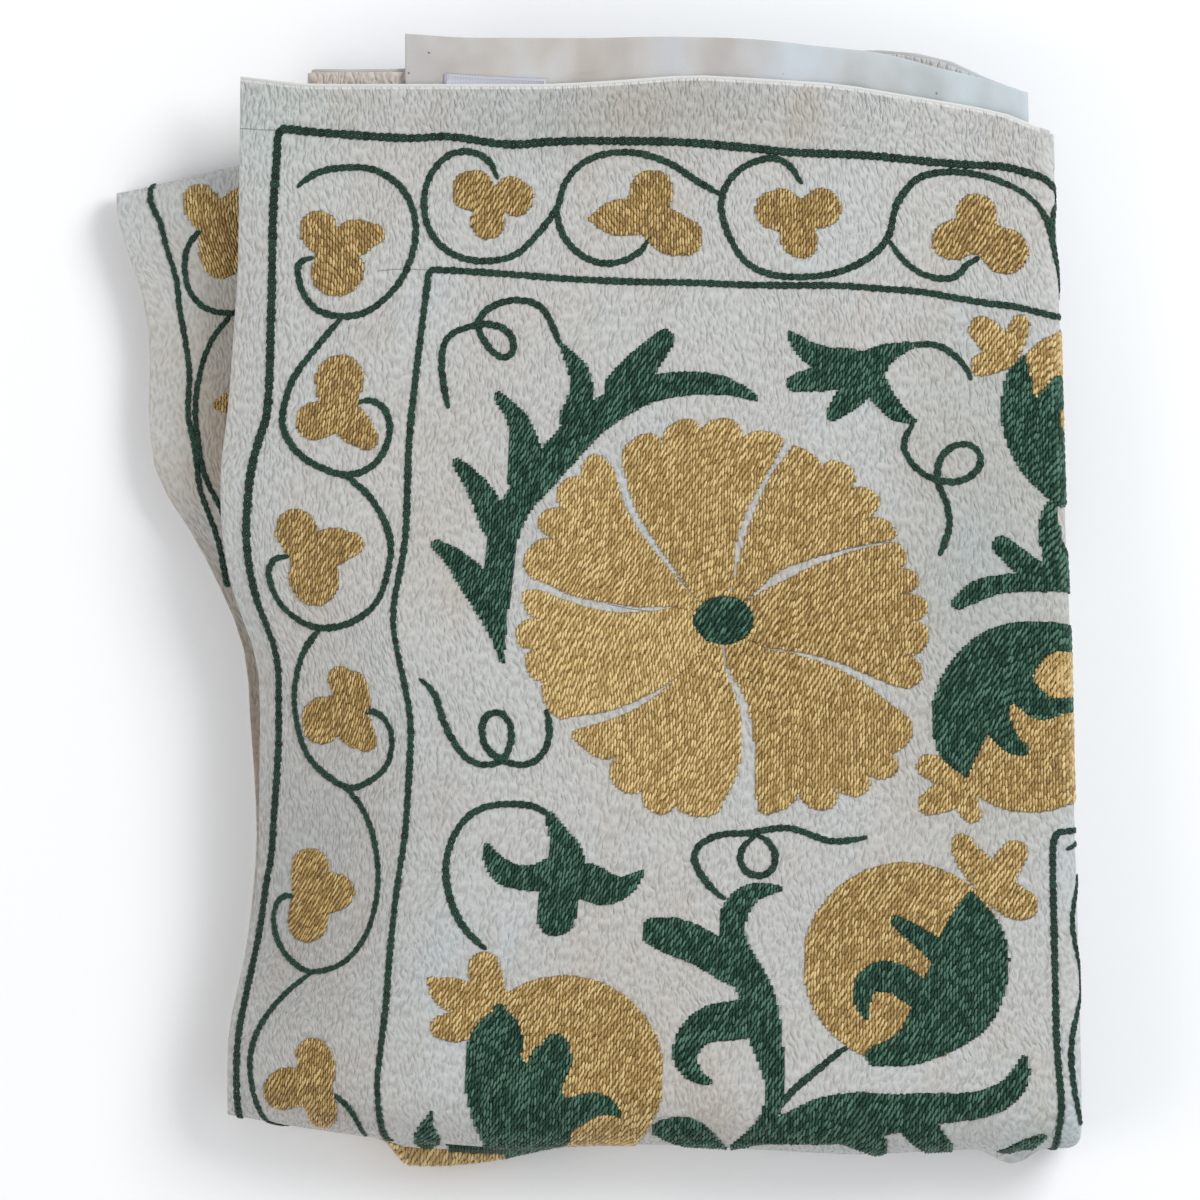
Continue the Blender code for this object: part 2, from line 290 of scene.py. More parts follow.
def hem_drift(column, row, across):
    """How far the top end of each layer has moved down."""
    drift = np.zeros_like(across)
    for number, table in enumerate(COLUMN_HEMS):
        here = (row == 0) & (column == number)
        drift[here] = between(table, across[here])
    rear = (row == 1) | (row == 2)
    drift[rear] = between(REAR_TOP, across[rear])
    drift[row == 3] = between(LAST_TOP, across[row == 3])
    return drift


def folded_places(flat):
    """Where places on the flat cloth (rows of u, v, w) lie in the pile, top hem at y = 0."""
    u, v, w = flat.T
    across, height, column = folded(COLUMNS, u, w)
    down, level, row = folded(ROWS, v, height)
    down = down + hem_drift(column, row, across) * np.clip(1.0 - down / INNER_BOTTOM_FOLD, 0, 1)
    slip = between(REAR_SLIP, down)
    rear_top = 2 * stack_height(across + slip, np.full_like(across, STACK)) + HALVES_GAP
    front_level = rear_top + pair_height(across, level - PAIR - HALVES_GAP)
    front_level += np.where((column == 0) & (row == 0), swell(SWELLS, across, down), 0.0)
    front_level += np.where((column == 3) & (row == 0), swell(CREASES, across, down), 0.0)
    rear_level = pair_height(across, level)
    rear = level < PAIR + HALVES_GAP
    level = np.where(rear, rear_level, front_level)
    across = across - np.where(rear, slip, 0.0)
    edge = bottom_edge(across, down, level)
    return np.column_stack((across + lean(across, down), -down - edge, level))


def on_front(points):
    """Points in millimetres right of and below the front layer's corner, on the flat cloth."""
    x, y = np.asarray(points, float).T * MM
    u = x.copy()
    v = y.copy()
    for _ in range(8):
        u = x - lean(u, y)
        drift = between(COLUMN_HEMS[0], u) * np.clip(1.0 - v / INNER_BOTTOM_FOLD, 0, 1)
        v = y - drift - bottom_edge(u, y, np.full_like(u, 2 * PAIR))
    over_side = np.clip((u - RIGHT_FOLD) / SIDE_NOSE_REACH, 0.0, 1.0)
    over_end = np.clip((v - BOTTOM_FOLD) / END_NOSE_REACH, 0.0, 1.0)
    u_nose = np.arcsin(over_side) * COLUMNS[0].nose / pi - over_side * SIDE_NOSE_REACH
    v_nose = np.arcsin(over_end) * ROWS[0].nose / pi - over_end * END_NOSE_REACH
    return np.column_stack((u + u_nose, v + v_nose))


REAR_START = sum(abs(run.end - run.start) + run.nose for run in ROWS[:2])


def on_rear(points):
    """The same for the layer that has slipped out behind, whose top edge is a fold."""
    x, y = np.asarray(points, float).T * MM
    slipped = x - lean(x, y)
    u = slipped + between(REAR_SLIP, y)
    v = y - between(REAR_TOP, u) * (1.0 - y / INNER_BOTTOM_FOLD) - TOP_FOLD
    reach = FIRST_LEVEL + SURFACE
    over = np.arcsin(np.clip(v / reach, -1.0, 0.0)) * ROWS[1].nose / pi
    return np.column_stack((u, REAR_START + np.where(v < 0.0, over, v)))


# The shift from the front layer's corner to the CAD frame is found once the sheet is folded
SHIFT = np.zeros(3)


# Materials

class Finish:
    """A node material while it is put together."""

    def __init__(self, name):
        self.material = bpy.data.materials.new(name)
        self.material.use_nodes = True
        self.tree = self.material.node_tree

    def feed(self, socket, value):
        """Join a socket to an input, or give the input a number, a vector or a colour."""
        if isinstance(value, bpy.types.NodeSocket):
            self.tree.links.new(value, socket)
        elif socket.type == "RGBA":
            socket.default_value = (*value, 1.0)
        else:
            socket.default_value = value

    def node(self, kind, inputs=None, **settings):
        """The outputs of a new node, with what goes into its inputs by name or number."""
        made = self.tree.nodes.new("ShaderNode" + kind)
        for key, value in settings.items():
            setattr(made, key, value)
        for key, value in (inputs or {}).items():
            self.feed(made.inputs[key], value)
        return made.outputs

    def scaled(self, source, scale):
        """A coordinate stretched by a scale of two or three numbers."""
        return self.node("Mapping", {"Vector": source, "Scale": (*scale, 1.0)[:3]})["Vector"]

    def noise(self, source, scale, detail, rough=0.5):
        """Noise on a stretched coordinate."""
        return self.node("TexNoise", {"Vector": self.scaled(source, scale), "Scale": 1.0,
                                      "Detail": detail, "Roughness": rough})

    def calculated(self, operation, *values):
        """One sum on sockets and numbers."""
        return self.node("Math", dict(enumerate(values)), operation=operation)["Value"]

    def ranged(self, source, low, high, first, last, kind="LINEAR"):
        """A value between low and high, carried to between first and last."""
        return self.node("MapRange", {"Value": source, "From Min": low, "From Max": high,
                                      "To Min": first, "To Max": last},
                         interpolation_type=kind)["Result"]

    def ramp(self, source, *stops):
        """A colour ramp from (place, colour) stops."""
        made = self.tree.nodes.new("ShaderNodeValToRGB")
        elements = made.color_ramp.elements
        while len(elements) < len(stops):
            elements.new(0.5)
        for element, (place, colour) in zip(elements, stops):
            element.position = place
            element.color = (*colour, 1.0)
        self.feed(made.inputs["Fac"], source)
        return made.outputs["Color"]

    def mix(self, mode, factor, first, second):
        """Two colours mixed by a factor."""
        return self.node("Mix", {0: factor, 6: first, 7: second}, data_type="RGBA",
                         blend_type=mode)[2]

    def shader(self, values):
        """Feed the shader's inputs by name."""
        for key, value in values.items():
            self.feed(self.tree.nodes["Principled BSDF"].inputs[key], value)

    def bump(self, height, strength, distance):
        """Raise the surface by a height between 0 and 1."""
        raised = self.node("Bump", {"Height": height, "Strength": strength,
                                    "Distance": distance})
        self.shader({"Normal": raised["Normal"]})


# Soft patches laid over the ground's colour: middle and reach on the flat cloth in metres, then
# the tint. The first and fifth are painted cool light at the front layer's top-left and
# bottom-right corners; the fourth is painted shade on the lower left; the sixth and seventh are
# painted shade on the layer behind, near the front layer's edge; the second, third and eighth are
# darker or warmer tones.
GROUND_LIGHT_SHADE_AND_TONES = (
    ((0.010, 0.020), (0.050, 0.050), (0.99, 1.09, 1.12)),
    ((0.160, 0.012), (0.130, 0.030), (0.84, 0.82, 0.79)),
    ((0.300, 0.190), (0.060, 0.160), (0.84, 0.86, 0.84)),
    ((0.026, 0.330), (0.090, 0.170), (0.79, 0.79, 0.79)),
    ((0.325, 0.425), (0.080, 0.070), (1.02, 1.10, 1.14)),
    ((0.030, REAR_START + 0.100), (0.026, 0.170), (0.86, 0.77, 0.68)),
    ((0.000, REAR_START + 0.200), (0.016, 0.120), (0.60, 0.50, 0.42)),
    ((0.660, 0.000), (0.060, 0.040), (1.14, 1.02, 0.93)),
)
# Soft patches on the lining, given the same way: painted cool light on the right part of the
# lining strip, and a faint warmer tone further left
LINING_LIGHT_AND_TONES = (
    ((CLOTH_WIDTH - 0.240, 0.010), (0.120, 0.060), (1.02, 1.17, 1.26)),
    ((CLOTH_WIDTH - 0.060, 0.005), (0.070, 0.040), (1.04, 1.01, 0.97)),
)
GATHERED = 28.0 * MM
# The band down from the top hem that carries a painted highlight on its rolled edge, then the
# highlight's colour
HEM_ROLL = (0.6 * MM, 1.1 * MM)
HEM_HIGHLIGHT = (0.68, 0.67, 0.64)


def light_and_tone_patches(cloth, flat, tint, tones):
    """A tint with soft patches laid over it: painted light, painted shade and other tones."""
    for (across, down), (wide, tall), tone in tones:
        place = cloth.node("Mapping", {"Vector": flat, "Location": (across, down, 0.0),
                                       "Scale": (wide, tall, 1.0)}, vector_type="TEXTURE")
        away = cloth.node("VectorMath", {0: place["Vector"]}, operation="LENGTH")["Value"]
        soft = cloth.ranged(away, 0.0, 1.0, 1.0, 0.0, "SMOOTHSTEP")
        tint = cloth.mix("MULTIPLY", soft, tint, tone)
    return tint


def rolled_hem_highlight(cloth, flat, tint):
    """The front layer's top hem, with a painted highlight where it is rolled over."""
    place = cloth.node("SeparateXYZ", {"Vector": flat})
    near = cloth.ranged(place["Y"], *HEM_ROLL, 1.0, 0.0)
    front = cloth.calculated("LESS_THAN", place["X"], RIGHT_FOLD)
    return cloth.mix("MIX", cloth.calculated("MULTIPLY", near, front), tint, HEM_HIGHLIGHT)


def ground_cotton():
    """Off-white hand-woven cotton, crinkled along the warp, with faint warm and cool patches,
    painted shade in the crinkle's valleys and soft patches of painted light and shade.
    """
    cloth = Finish("ground_cotton")
    flat = cloth.node("UVMap")["UV"]
    bent = flat
    for size, push in (((26.0, 30.0), (0.012, 0.006)), ((330.0, 250.0), (0.0022, 0.0022))):
        wander = cloth.noise(flat, size, 1.0)["Color"]
        bent = cloth.node("VectorMath", {0: wander, 1: (*push, 0.0), 2: bent},
                          operation="MULTIPLY_ADD")["Vector"]
    crinkle = cloth.noise(bent, (880.0, 330.0), 0.6, 0.3)["Fac"]
    fuzz = cloth.noise(flat, (2600.0, 1700.0), 2.0, 0.6)["Fac"]
    patch = cloth.noise(flat, (14.0, 9.0), 3.0, 0.55)["Fac"]
    stain = cloth.noise(flat, (37.0, 16.0), 2.0)["Fac"]

    tint = cloth.ramp(patch, (0.30, (0.515, 0.490, 0.450)), (0.48, (0.530, 0.522, 0.495)),
                      (0.70, (0.510, 0.540, 0.540)))
    pale = cloth.ramp(stain, (0.56, (1.0, 1.0, 1.0)), (0.72, (0.97, 0.91, 0.865)))
    tint = cloth.mix("MULTIPLY", 0.85, tint, pale)
    # Painted shade in the crinkle's valleys and a faint painted highlight on its ridges, from the
    # same noise that raises the bump.
    crinkle_shade = cloth.ramp(crinkle, (0.34, (0.84, 0.83, 0.82)), (0.50, (0.98, 0.98, 0.98)),
                        (0.66, (1.06, 1.06, 1.06)))
    tint = cloth.mix("MULTIPLY", 1.0, tint, crinkle_shade)
    tint = rolled_hem_highlight(cloth, flat, light_and_tone_patches(cloth, flat, tint, GROUND_LIGHT_SHADE_AND_TONES))

    height = cloth.calculated("MULTIPLY_ADD", fuzz, 0.08, crinkle)
    place = cloth.node("SeparateXYZ", {"Vector": flat})
    behind = cloth.calculated("GREATER_THAN", place["X"], RIGHT_FOLD)
    from_hem = cloth.calculated("ADD", place["Y"], behind)
    gathered = cloth.ranged(from_hem, 0.0, GATHERED, 2.0 * MM, 1.45 * MM)
    rear = cloth.ranged(place["Y"], BOTTOM_FOLD, REAR_START, 1.0, 0.6)
    cloth.bump(height, rear, gathered)
    cloth.shader({"Base Color": tint, "Roughness": 0.92, "Specular IOR Level": 0.2,
                  "Sheen Weight": 0.15, "Sheen Roughness": 0.6})
    return cloth.material


def lining_cotton():
    """Smooth undyed cotton, a fine even weave with a few dark flecks of seed, and a patch of
    painted cool light on its right part.
    """
    cloth = Finish("lining_cotton")
    flat = cloth.node("UVMap")["UV"]
    patch = cloth.noise(flat, (22.0, 16.0), 3.0, 0.6)["Fac"]
    weave = cloth.noise(flat, (1500.0, 1500.0), 1.0)["Fac"]
    flecks = cloth.node("TexVoronoi", {"Vector": cloth.scaled(flat, (75.0, 75.0)), "Scale": 1.0,
                                       "Randomness": 1.0})["Distance"]
    tint = cloth.ramp(patch, (0.38, (0.43, 0.400, 0.375)), (0.50, (0.495, 0.477, 0.462)),
                      (0.64, (0.52, 0.54, 0.56)))
    fleck = cloth.ramp(flecks, (0.020, (0.20, 0.17, 0.15)), (0.045, (1.0, 1.0, 1.0)))
    tint = cloth.mix("MULTIPLY", 0.85, tint, fleck)
    tint = rolled_hem_highlight(cloth, flat, light_and_tone_patches(cloth, flat, tint, LINING_LIGHT_AND_TONES))
    cloth.bump(weave, 0.6, 0.2 * MM)
    cloth.shader({"Base Color": tint, "Roughness": 0.85, "Specular IOR Level": 0.25,
                  "Sheen Weight": 0.15})
    return cloth.material


def label_tape():
    """Pale woven tape with a ribbed surface."""
    tape = Finish("label_tape")
    flat = tape.node("UVMap")["UV"]
    ribs = tape.node("TexWave", {"Vector": tape.scaled(flat, (260.0, 1.0)), "Scale": 1.0,
                                 "Distortion": 0.2})["Fac"]
    tint = tape.ramp(ribs, (0.0, (0.50, 0.50, 0.57)), (1.0, (0.56, 0.56, 0.63)))
    tape.bump(ribs, 0.3, 0.1 * MM)
    tape.shader({"Base Color": tint, "Roughness": 0.6})
    return tape.material


def silk(name, stops, rough, shine, sheen):
    """Silk thread: its shade differs a little from stitch to stitch, and it has a soft shine."""
    thread = Finish(name)
    tone = thread.node("Attribute", attribute_name="tone")["Fac"]
    place = thread.node("TexCoord")["Object"]
    grain = thread.noise(place, (2600.0, 700.0, 900.0), 2.0)["Fac"]
    shade = thread.calculated("MULTIPLY_ADD", grain, 0.25, tone)
    thread.bump(grain, 0.4, 0.12 * MM)
    thread.shader({"Base Color": thread.ramp(shade, *stops), "Roughness": rough,
                   "Specular IOR Level": shine, "Sheen Weight": sheen, "Sheen Roughness": 0.4})
    return thread.material


GROUND = ground_cotton()
BACKING = lining_cotton()
TAPE = label_tape()
GOLD = silk("gold_silk", (
    (0.05, (0.170, 0.100, 0.028)), (0.50, (0.430, 0.275, 0.082)), (0.95, (0.740, 0.560, 0.250))),
    0.38, 0.5, 0.2)
GREEN = silk("green_silk", (
    (0.05, (0.006, 0.022, 0.013)), (0.50, (0.020, 0.066, 0.041)), (0.90, (0.095, 0.200, 0.140))),
    0.42, 0.22, 0.03)
PENCIL = silk("drawn_line", (
    (0.05, (0.240, 0.210, 0.180)), (0.50, (0.320, 0.290, 0.250)), (0.95, (0.400, 0.370, 0.330))),
    0.8, 0.2, 0.0)


# Sheets

def grid_lines(runs, steps, turns, start=0.0, extra=()):
    """Flat places of a sheet's grid lines: even steps along each run and round each nose."""
    lines = [start, *extra]
    flat = 0.0
    for run, step, turn in zip(runs, steps, turns):
        length = abs(run.end - run.start)
        count = ceil(length / step)
        lines += [flat + length * (index + 1) / count for index in range(count)]
        flat += length
        lines += [flat + run.nose * (index + 1) / turn for index in range(turn)]
        flat += run.nose
    edge = [0.2 * MM, 0.5 * MM, 1.4 * MM]
    return sorted(lines + [start + place for place in edge] + [flat - place for place in edge])


EDGE_ROUND = 0.35 * MM
EDGE_REACH = 0.5 * MM
HEM_TURNED = 15.0 * MM
HEM_STEP = (14.0 * MM, 14.6 * MM, 15.2 * MM, 15.8 * MM)
HEM_RISE = 0.28 * MM
LINING_PROUD = 1.3 * MM


def make_sheet(name, u_lines, v_lines, low, high, node, material, turn=0.0):
    """A closed sheet over the grid lines, with rounded hems, folded like the cloth."""
    mesh = bmesh.new()
    columns = len(u_lines) - 1
    rows = len(v_lines) - 1
    bmesh.ops.create_grid(mesh, x_segments=columns, y_segments=rows, size=0.5)
    raised = bmesh.ops.extrude_face_region(mesh, geom=mesh.faces[:], use_keep_orig=True)
    tops = [item for item in raised["geom"] if isinstance(item, bmesh.types.BMVert)]
    bmesh.ops.translate(mesh, verts=tops, vec=(0.0, 0.0, 1.0))
    bmesh.ops.recalc_face_normals(mesh, faces=mesh.faces[:])
    data = bpy.data.meshes.new(name)
    mesh.to_mesh(data)
    mesh.free()
    grid = np.empty(len(data.vertices) * 3)
    data.vertices.foreach_get("co", grid)
    grid = grid.reshape(-1, 3)
    u = np.asarray(u_lines)[np.rint((grid[:, 0] + 0.5) * columns).astype(int)]
    v = np.asarray(v_lines)[np.rint((grid[:, 1] + 0.5) * rows).astype(int)]
    inside = np.minimum(np.minimum(u - u_lines[0], u_lines[-1] - u),
                        np.minimum(v - v_lines[0], v_lines[-1] - v))
    inset = EDGE_ROUND * np.clip(1.0 - inside / EDGE_REACH, 0.0, 1.0) ** 2
    turned = HEM_RISE * eased(0.5 + (HEM_TURNED - v) / (1.4 * MM)) * (node == "face_cloth")
    w = np.where(grid[:, 2] > 0.5, high - inset + turned, low + inset)
    if turn:
        du = (u - u_lines[-1]) * cos(turn) + (v - v_lines[0]) * sin(turn)
        dv = (v - v_lines[0]) * cos(turn) - (u - u_lines[-1]) * sin(turn)
        u, v = u_lines[-1] + du, v_lines[0] + dv
    return finish_piece(data, np.column_stack((u, v, w)), (node,), material)


def finish_piece(data, flat, nodes, material):
    """Fold a flat mesh, give it its flat cloth coordinates as a UV map, and make it a piece."""
    global SHIFT
    places = folded_places(flat)
    if not SHIFT.any():
        low = np.array(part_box("face_cloth")[0])
        high = np.array(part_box("face_cloth")[1])
        middle = (places.min(0) + places.max(0)) / 2 - (low + high) / 2
        SHIFT = np.array((middle[0], middle[1], places[:, 2].min() - low[2]))
    data.vertices.foreach_set("co", (places - SHIFT).ravel())
    corners = np.empty(len(data.loops), int)
    data.loops.foreach_get("vertex_index", corners)
    data.uv_layers.new(name="flat_cloth")
    data.uv_layers["flat_cloth"].data.foreach_set("uv", flat[corners, :2].ravel())
    data.materials.append(material)
    data.shade_smooth()
    data.update()
    piece = bpy.data.objects.new(data.name, data)
    bpy.context.scene.collection.objects.link(piece)
    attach(piece, "root")
    if nodes:
        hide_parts(*nodes)
    return piece


# Stitches

def grain_shape():
    """One couched stitch: a short spindle along y."""
    mesh = bmesh.new()
    bmesh.ops.create_uvsphere(mesh, u_segments=5, v_segments=4, radius=1.0,
                              matrix=Matrix.Rotation(pi / 2, 4, "X")
                              @ Matrix.Rotation(pi / 2, 4, "Z"))
    return mesh


def laid_shape():
    """One stretch of laid thread: a low three-sided bar along y, open to its neighbours."""
    mesh = bmesh.new()
    bmesh.ops.create_cone(mesh, cap_ends=True, cap_tris=True, segments=3, radius1=1.0,
                          radius2=1.0, depth=2.0)
    bmesh.ops.rotate(mesh, verts=mesh.verts[:], cent=(0, 0, 0),
                     matrix=Matrix.Rotation(-pi / 2, 3, "X"))
    return mesh


LINK_TAIL = 0.30
LINK_THREAD = 0.42


def link_shape():
    """One chain stitch: a loop of thread along y, wide at its head and narrow at its tail."""
    mesh = bmesh.new()
    bmesh.ops.create_circle(mesh, cap_ends=False, segments=4, radius=LINK_THREAD,
                            matrix=Matrix.Translation((1.0 - LINK_THREAD, 0, 0))
                            @ Matrix.Rotation(pi / 2, 4, "X"))
    bmesh.ops.spin(mesh, geom=mesh.verts[:] + mesh.edges[:], cent=(0, 0, 0), axis=(0, 0, 1),
                   angle=2 * pi, steps=9, use_merge=True)
    bmesh.ops.remove_doubles(mesh, verts=mesh.verts[:], dist=1e-5)
    bmesh.ops.recalc_face_normals(mesh, faces=mesh.faces[:])
    for vert in mesh.verts:
        vert.co.x *= 1.0 - LINK_TAIL * (0.5 - 0.5 * vert.co.y)
    return mesh


def template(shape):
    """The points and faces of a shape, as arrays."""
    points = np.array([vert.co[:] for vert in shape.verts])
    corners = [[vert.index for vert in face.verts] for face in shape.faces]
    sizes = np.array([len(face) for face in corners])
    joined = np.concatenate(corners)
    shape.free()
    return points, joined, sizes


GRAIN = template(grain_shape())
LAID = template(laid_shape())
LINK = template(link_shape())


def stitches_mesh(name, sets):
    """One mesh from many stitches. Each set is a template and a row for each stitch: its
    middle, its lean from straight up the cloth, half its length and width, height, lift and tone.
    """
    points, corners, sizes, tones = [], [], [], []
    done = 0
    for (shape, shape_corners, shape_sizes), rows in sets:
        rows = np.asarray(rows, float)
        if not len(rows):
            continue
        u, v, turn, length, width, height, lift, tone = (column[:, None] for column in rows.T)
        across = shape[:, 0] * width
        along = shape[:, 1] * length
        made = np.stack((u + across * np.cos(turn) + along * np.sin(turn),
                         v - along * np.cos(turn) + across * np.sin(turn),
                         SURFACE + lift + shape[:, 2] * height), axis=-1)
        starts = done + len(shape) * np.arange(len(rows))
        points.append(made.reshape(-1, 3))
        corners.append((starts[:, None] + shape_corners).ravel())
        sizes.append(np.tile(shape_sizes, len(rows)))
        tones.append(np.repeat(tone[:, 0], len(shape)))
        done += made.shape[0] * made.shape[1]
    points, corners, sizes, tones = map(np.concatenate, (points, corners, sizes, tones))
    data = bpy.data.meshes.new(name)
    data.vertices.add(len(points))
    data.loops.add(len(corners))
    data.polygons.add(len(sizes))
    data.loops.foreach_set("vertex_index", corners)
    data.polygons.foreach_set("loop_start", np.concatenate(([0], np.cumsum(sizes)[:-1])))
    data.update(calc_edges=True)
    data.attributes.new("tone", "FLOAT", "POINT").data.foreach_set("value", tones)
    return data, points


def add_stitches(name, sets, material):
    """Stitches as a piece that rides on the cloth."""
    data, flat = stitches_mesh(name, sets)
    piece = finish_piece(data, flat, (), material)
    return piece


# Laid and couched fillings
COLUMN_PITCH = 1.15 * MM
GRAIN_PITCH = 3.2 * MM
GRAIN_HALF_LENGTH = 1.80 * MM
GRAIN_HALF_WIDTH = 0.58 * MM
GRAIN_HEIGHT = 0.72 * MM
GRAIN_STEP = 0.44
LAID_LENGTH = 6.0 * MM
SHORTEST_SPAN = 0.8 * MM
WANDER = 11.0


HAND_WAVES = np.random.default_rng(3).uniform((-95, -95, 0), (95, 95, 6.3), (2, 4, 3)).tolist()


def drifting(u, v, seed):
    """A smooth field between -1 and 1 over the cloth, for the hand's changes of direction."""
    waves = HAND_WAVES[seed]
    return sum(sin(u * a + v * b + c) for a, b, c in waves) / len(waves)


def spans(outlines, u):
    """Where a line down the cloth at u is inside any of the outlines."""
    found = []
    for outline in outlines:
        following = np.roll(outline, -1, axis=0)
        crossing = (outline[:, 0] <= u) != (following[:, 0] <= u)
        first = outline[crossing]
        second = following[crossing]
        share = (u - first[:, 0]) / (second[:, 0] - first[:, 0])
        places = np.sort(first[:, 1] + share * (second[:, 1] - first[:, 1]))
        found += list(zip(places[0::2], places[1::2]))
    joined = []
    for low, high in sorted(found):
        if joined and low <= joined[-1][1]:
            joined[-1][1] = max(joined[-1][1], high)
        else:
            joined.append([low, high])
    return joined


def without(found, holes):
    """Spans with the parts inside the holes taken out."""
    for low, high in holes:
        kept = []
        for start, end in found:
            if high <= start or low >= end:
                kept.append([start, end])
                continue
            if start < low:
                kept.append([start, low])
            if end > high:
                kept.append([high, end])
        found = kept
    return found


def fill(outlines, holes=(), slant=14.0, shade=0.0):
    """The laid threads and couched grains that fill some outlines, as two sets of stitches."""
    low = min(outline[:, 0].min() for outline in outlines)
    high = max(outline[:, 0].max() for outline in outlines)
    laid = []
    grains = []
    for column in range(ceil(low / COLUMN_PITCH), ceil(high / COLUMN_PITCH)):
        u = column * COLUMN_PITCH
        for start, end in without(spans(outlines, u), spans(holes, u)):
            if end - start < SHORTEST_SPAN:
                continue
            start += RNG.uniform(-0.3, 0.3) * MM
            end += RNG.uniform(-0.3, 0.3) * MM
            pieces = ceil((end - start) / LAID_LENGTH)
            for index in range(pieces):
                middle = start + (end - start) * (index + 0.5) / pieces
                half = (end - start) / pieces / 2 + 0.1 * MM
                # The laid threads get darker tones than the grains: painted shade in the gaps
                # between the grains.
                laid.append((u, middle, 0.0, half, 0.62 * COLUMN_PITCH, 0.36 * MM, 0.16 * MM,
                             RNG.uniform(0.02, 0.28) + shade))
            phase = (column * GRAIN_STEP) % 1.0 + RNG.uniform(-0.20, 0.20)
            phase += 0.5 * drifting(u, start, 1)
            first = ceil(start / GRAIN_PITCH - phase - 0.5)
            place = (first + phase) * GRAIN_PITCH
            while place < end + 0.5 * GRAIN_PITCH:
                top = max(place - GRAIN_HALF_LENGTH, start - 0.2 * MM)
                base = min(place + GRAIN_HALF_LENGTH, end + 0.2 * MM)
                if base - top > 1.2 * MM:
                    lean_here = slant + WANDER * drifting(u, place, 0) + RNG.normal(0.0, 6.0)
                    grains.append((u + RNG.uniform(-0.12, 0.12) * MM, (top + base) / 2,
                                   radians(lean_here), (base - top) / 2,
                                   GRAIN_HALF_WIDTH * RNG.uniform(0.85, 1.12),
                                   GRAIN_HEIGHT * RNG.uniform(0.75, 1.15), 0.30 * MM,
                                   RNG.uniform(0.20, 0.80) + shade))
                place += GRAIN_PITCH * RNG.uniform(0.92, 1.08)
    return [(LAID, laid), (GRAIN, grains)]


# Chain stitch
CHAIN_PITCH = 3.0 * MM
TWIST = 0.10
DRAWN_HALF_WIDTH = 0.14 * MM


def smooth(points, steps=10):
    """A smooth curve through points, whatever number of columns they have."""
    points = np.asarray(points, float)
    ends = np.vstack((2 * points[0] - points[1], points, 2 * points[-1] - points[-2]))
    t = np.linspace(0.0, 1.0, steps, endpoint=False)[:, None]
    parts = []
    for a, b, c, d in zip(ends, ends[1:], ends[2:], ends[3:]):
        parts.append(0.5 * (2 * b + (c - a) * t + (2 * a - 5 * b + 4 * c - d) * t ** 2
                            + (3 * b - a - 3 * c + d) * t ** 3))
    return np.vstack(parts + [points[-1:]])


def chain(path, width=1.35 * MM, start_taper=0, end_taper=0, shade=0.0):
    """Chain stitches along a path on the flat cloth, each twisted against the last."""
    legs = np.linalg.norm(np.diff(path, axis=0), axis=1)
    reached = np.concatenate(([0.0], np.cumsum(legs)))
    count = max(2, round(reached[-1] / CHAIN_PITCH))
    marks = np.linspace(0.0, reached[-1], count + 1)
    u = np.interp(marks, reached, path[:, 0])
    v = np.interp(marks, reached, path[:, 1])
    rows = []
    for index in range(count):
        du = u[index + 1] - u[index]
        dv = v[index + 1] - v[index]
        length = np.hypot(du, dv)
        taper = 1.0
        if index < start_taper:
            taper = 0.6 + 0.4 * (index + 0.5) / start_taper
        if count - index <= end_taper:
            taper = 0.6 + 0.4 * (count - index - 0.5) / end_taper
        # Links that lean one way are painted lighter and the others darker: painted light on the
        # twisted cord.
        hand = 1.0 if index % 2 else -1.0
        rows.append(((u[index] + u[index + 1]) / 2, (v[index] + v[index + 1]) / 2,
                     np.arctan2(du, -dv) + TWIST * hand + RNG.normal(0.0, 0.06), 0.78 * length,
                     width * taper * RNG.uniform(0.9, 1.08), 0.85 * MM * taper, 0.42 * MM,
                     RNG.uniform(0.04, 0.28) + 0.06 * hand + shade))
    return LINK, rows


def drawn(path):
    """A thin drawn line that the stitches never covered."""
    rows = []
    for start, end in zip(path, path[1:]):
        du, dv = end - start
        rows.append(((start[0] + end[0]) / 2, (start[1] + end[1]) / 2, np.arctan2(du, -dv),
                     0.55 * np.hypot(du, dv), DRAWN_HALF_WIDTH, 0.1 * MM, 0.12 * MM,
                     RNG.uniform(0.1, 0.7)))
    return LAID, rows


# The design, in millimetres right of and below the front layer's corner

def stroke(spine, place=on_front):
    """The outline of a leaf or stem from rows of across, down and width."""
    line = smooth(spine, 6)
    heading = np.gradient(line[:, :2], axis=0)
    heading /= np.linalg.norm(heading, axis=1)[:, None]
    side = np.column_stack((-heading[:, 1], heading[:, 0])) * np.abs(line[:, 2:3]) / 2
    turn = np.linspace(0, pi, 7)[1:-1]

    def cap(at, sign):
        radius = abs(line[at, 2]) / 2
        back = heading[at] * sign
        beside = side[at] / max(radius, 1e-9)
        return [line[at, :2] + radius * (beside * cos(a) * sign + back * sin(a)) for a in turn]

    outline = np.vstack((line[:, :2] + side, cap(-1, 1), (line[:, :2] - side)[::-1], cap(0, -1)))
    return place(outline)


def disc(across, down, radius, tall=None, place=on_front):
    """The outline of a round or oval."""
    turn = np.linspace(0.0, 2 * pi, 48, endpoint=False)
    tall = tall or radius
    return place(np.column_stack((across + radius * np.cos(turn), down + tall * np.sin(turn))))


def make_design():
    """Every stitched motif."""
    make_borders()
    make_scrolls()
    make_trefoils()
    make_rosette()
    make_pomegranates()
    make_leaves()
    make_tendrils()
    make_rear_border()
    make_lower_layer()
    make_drawn_lines()


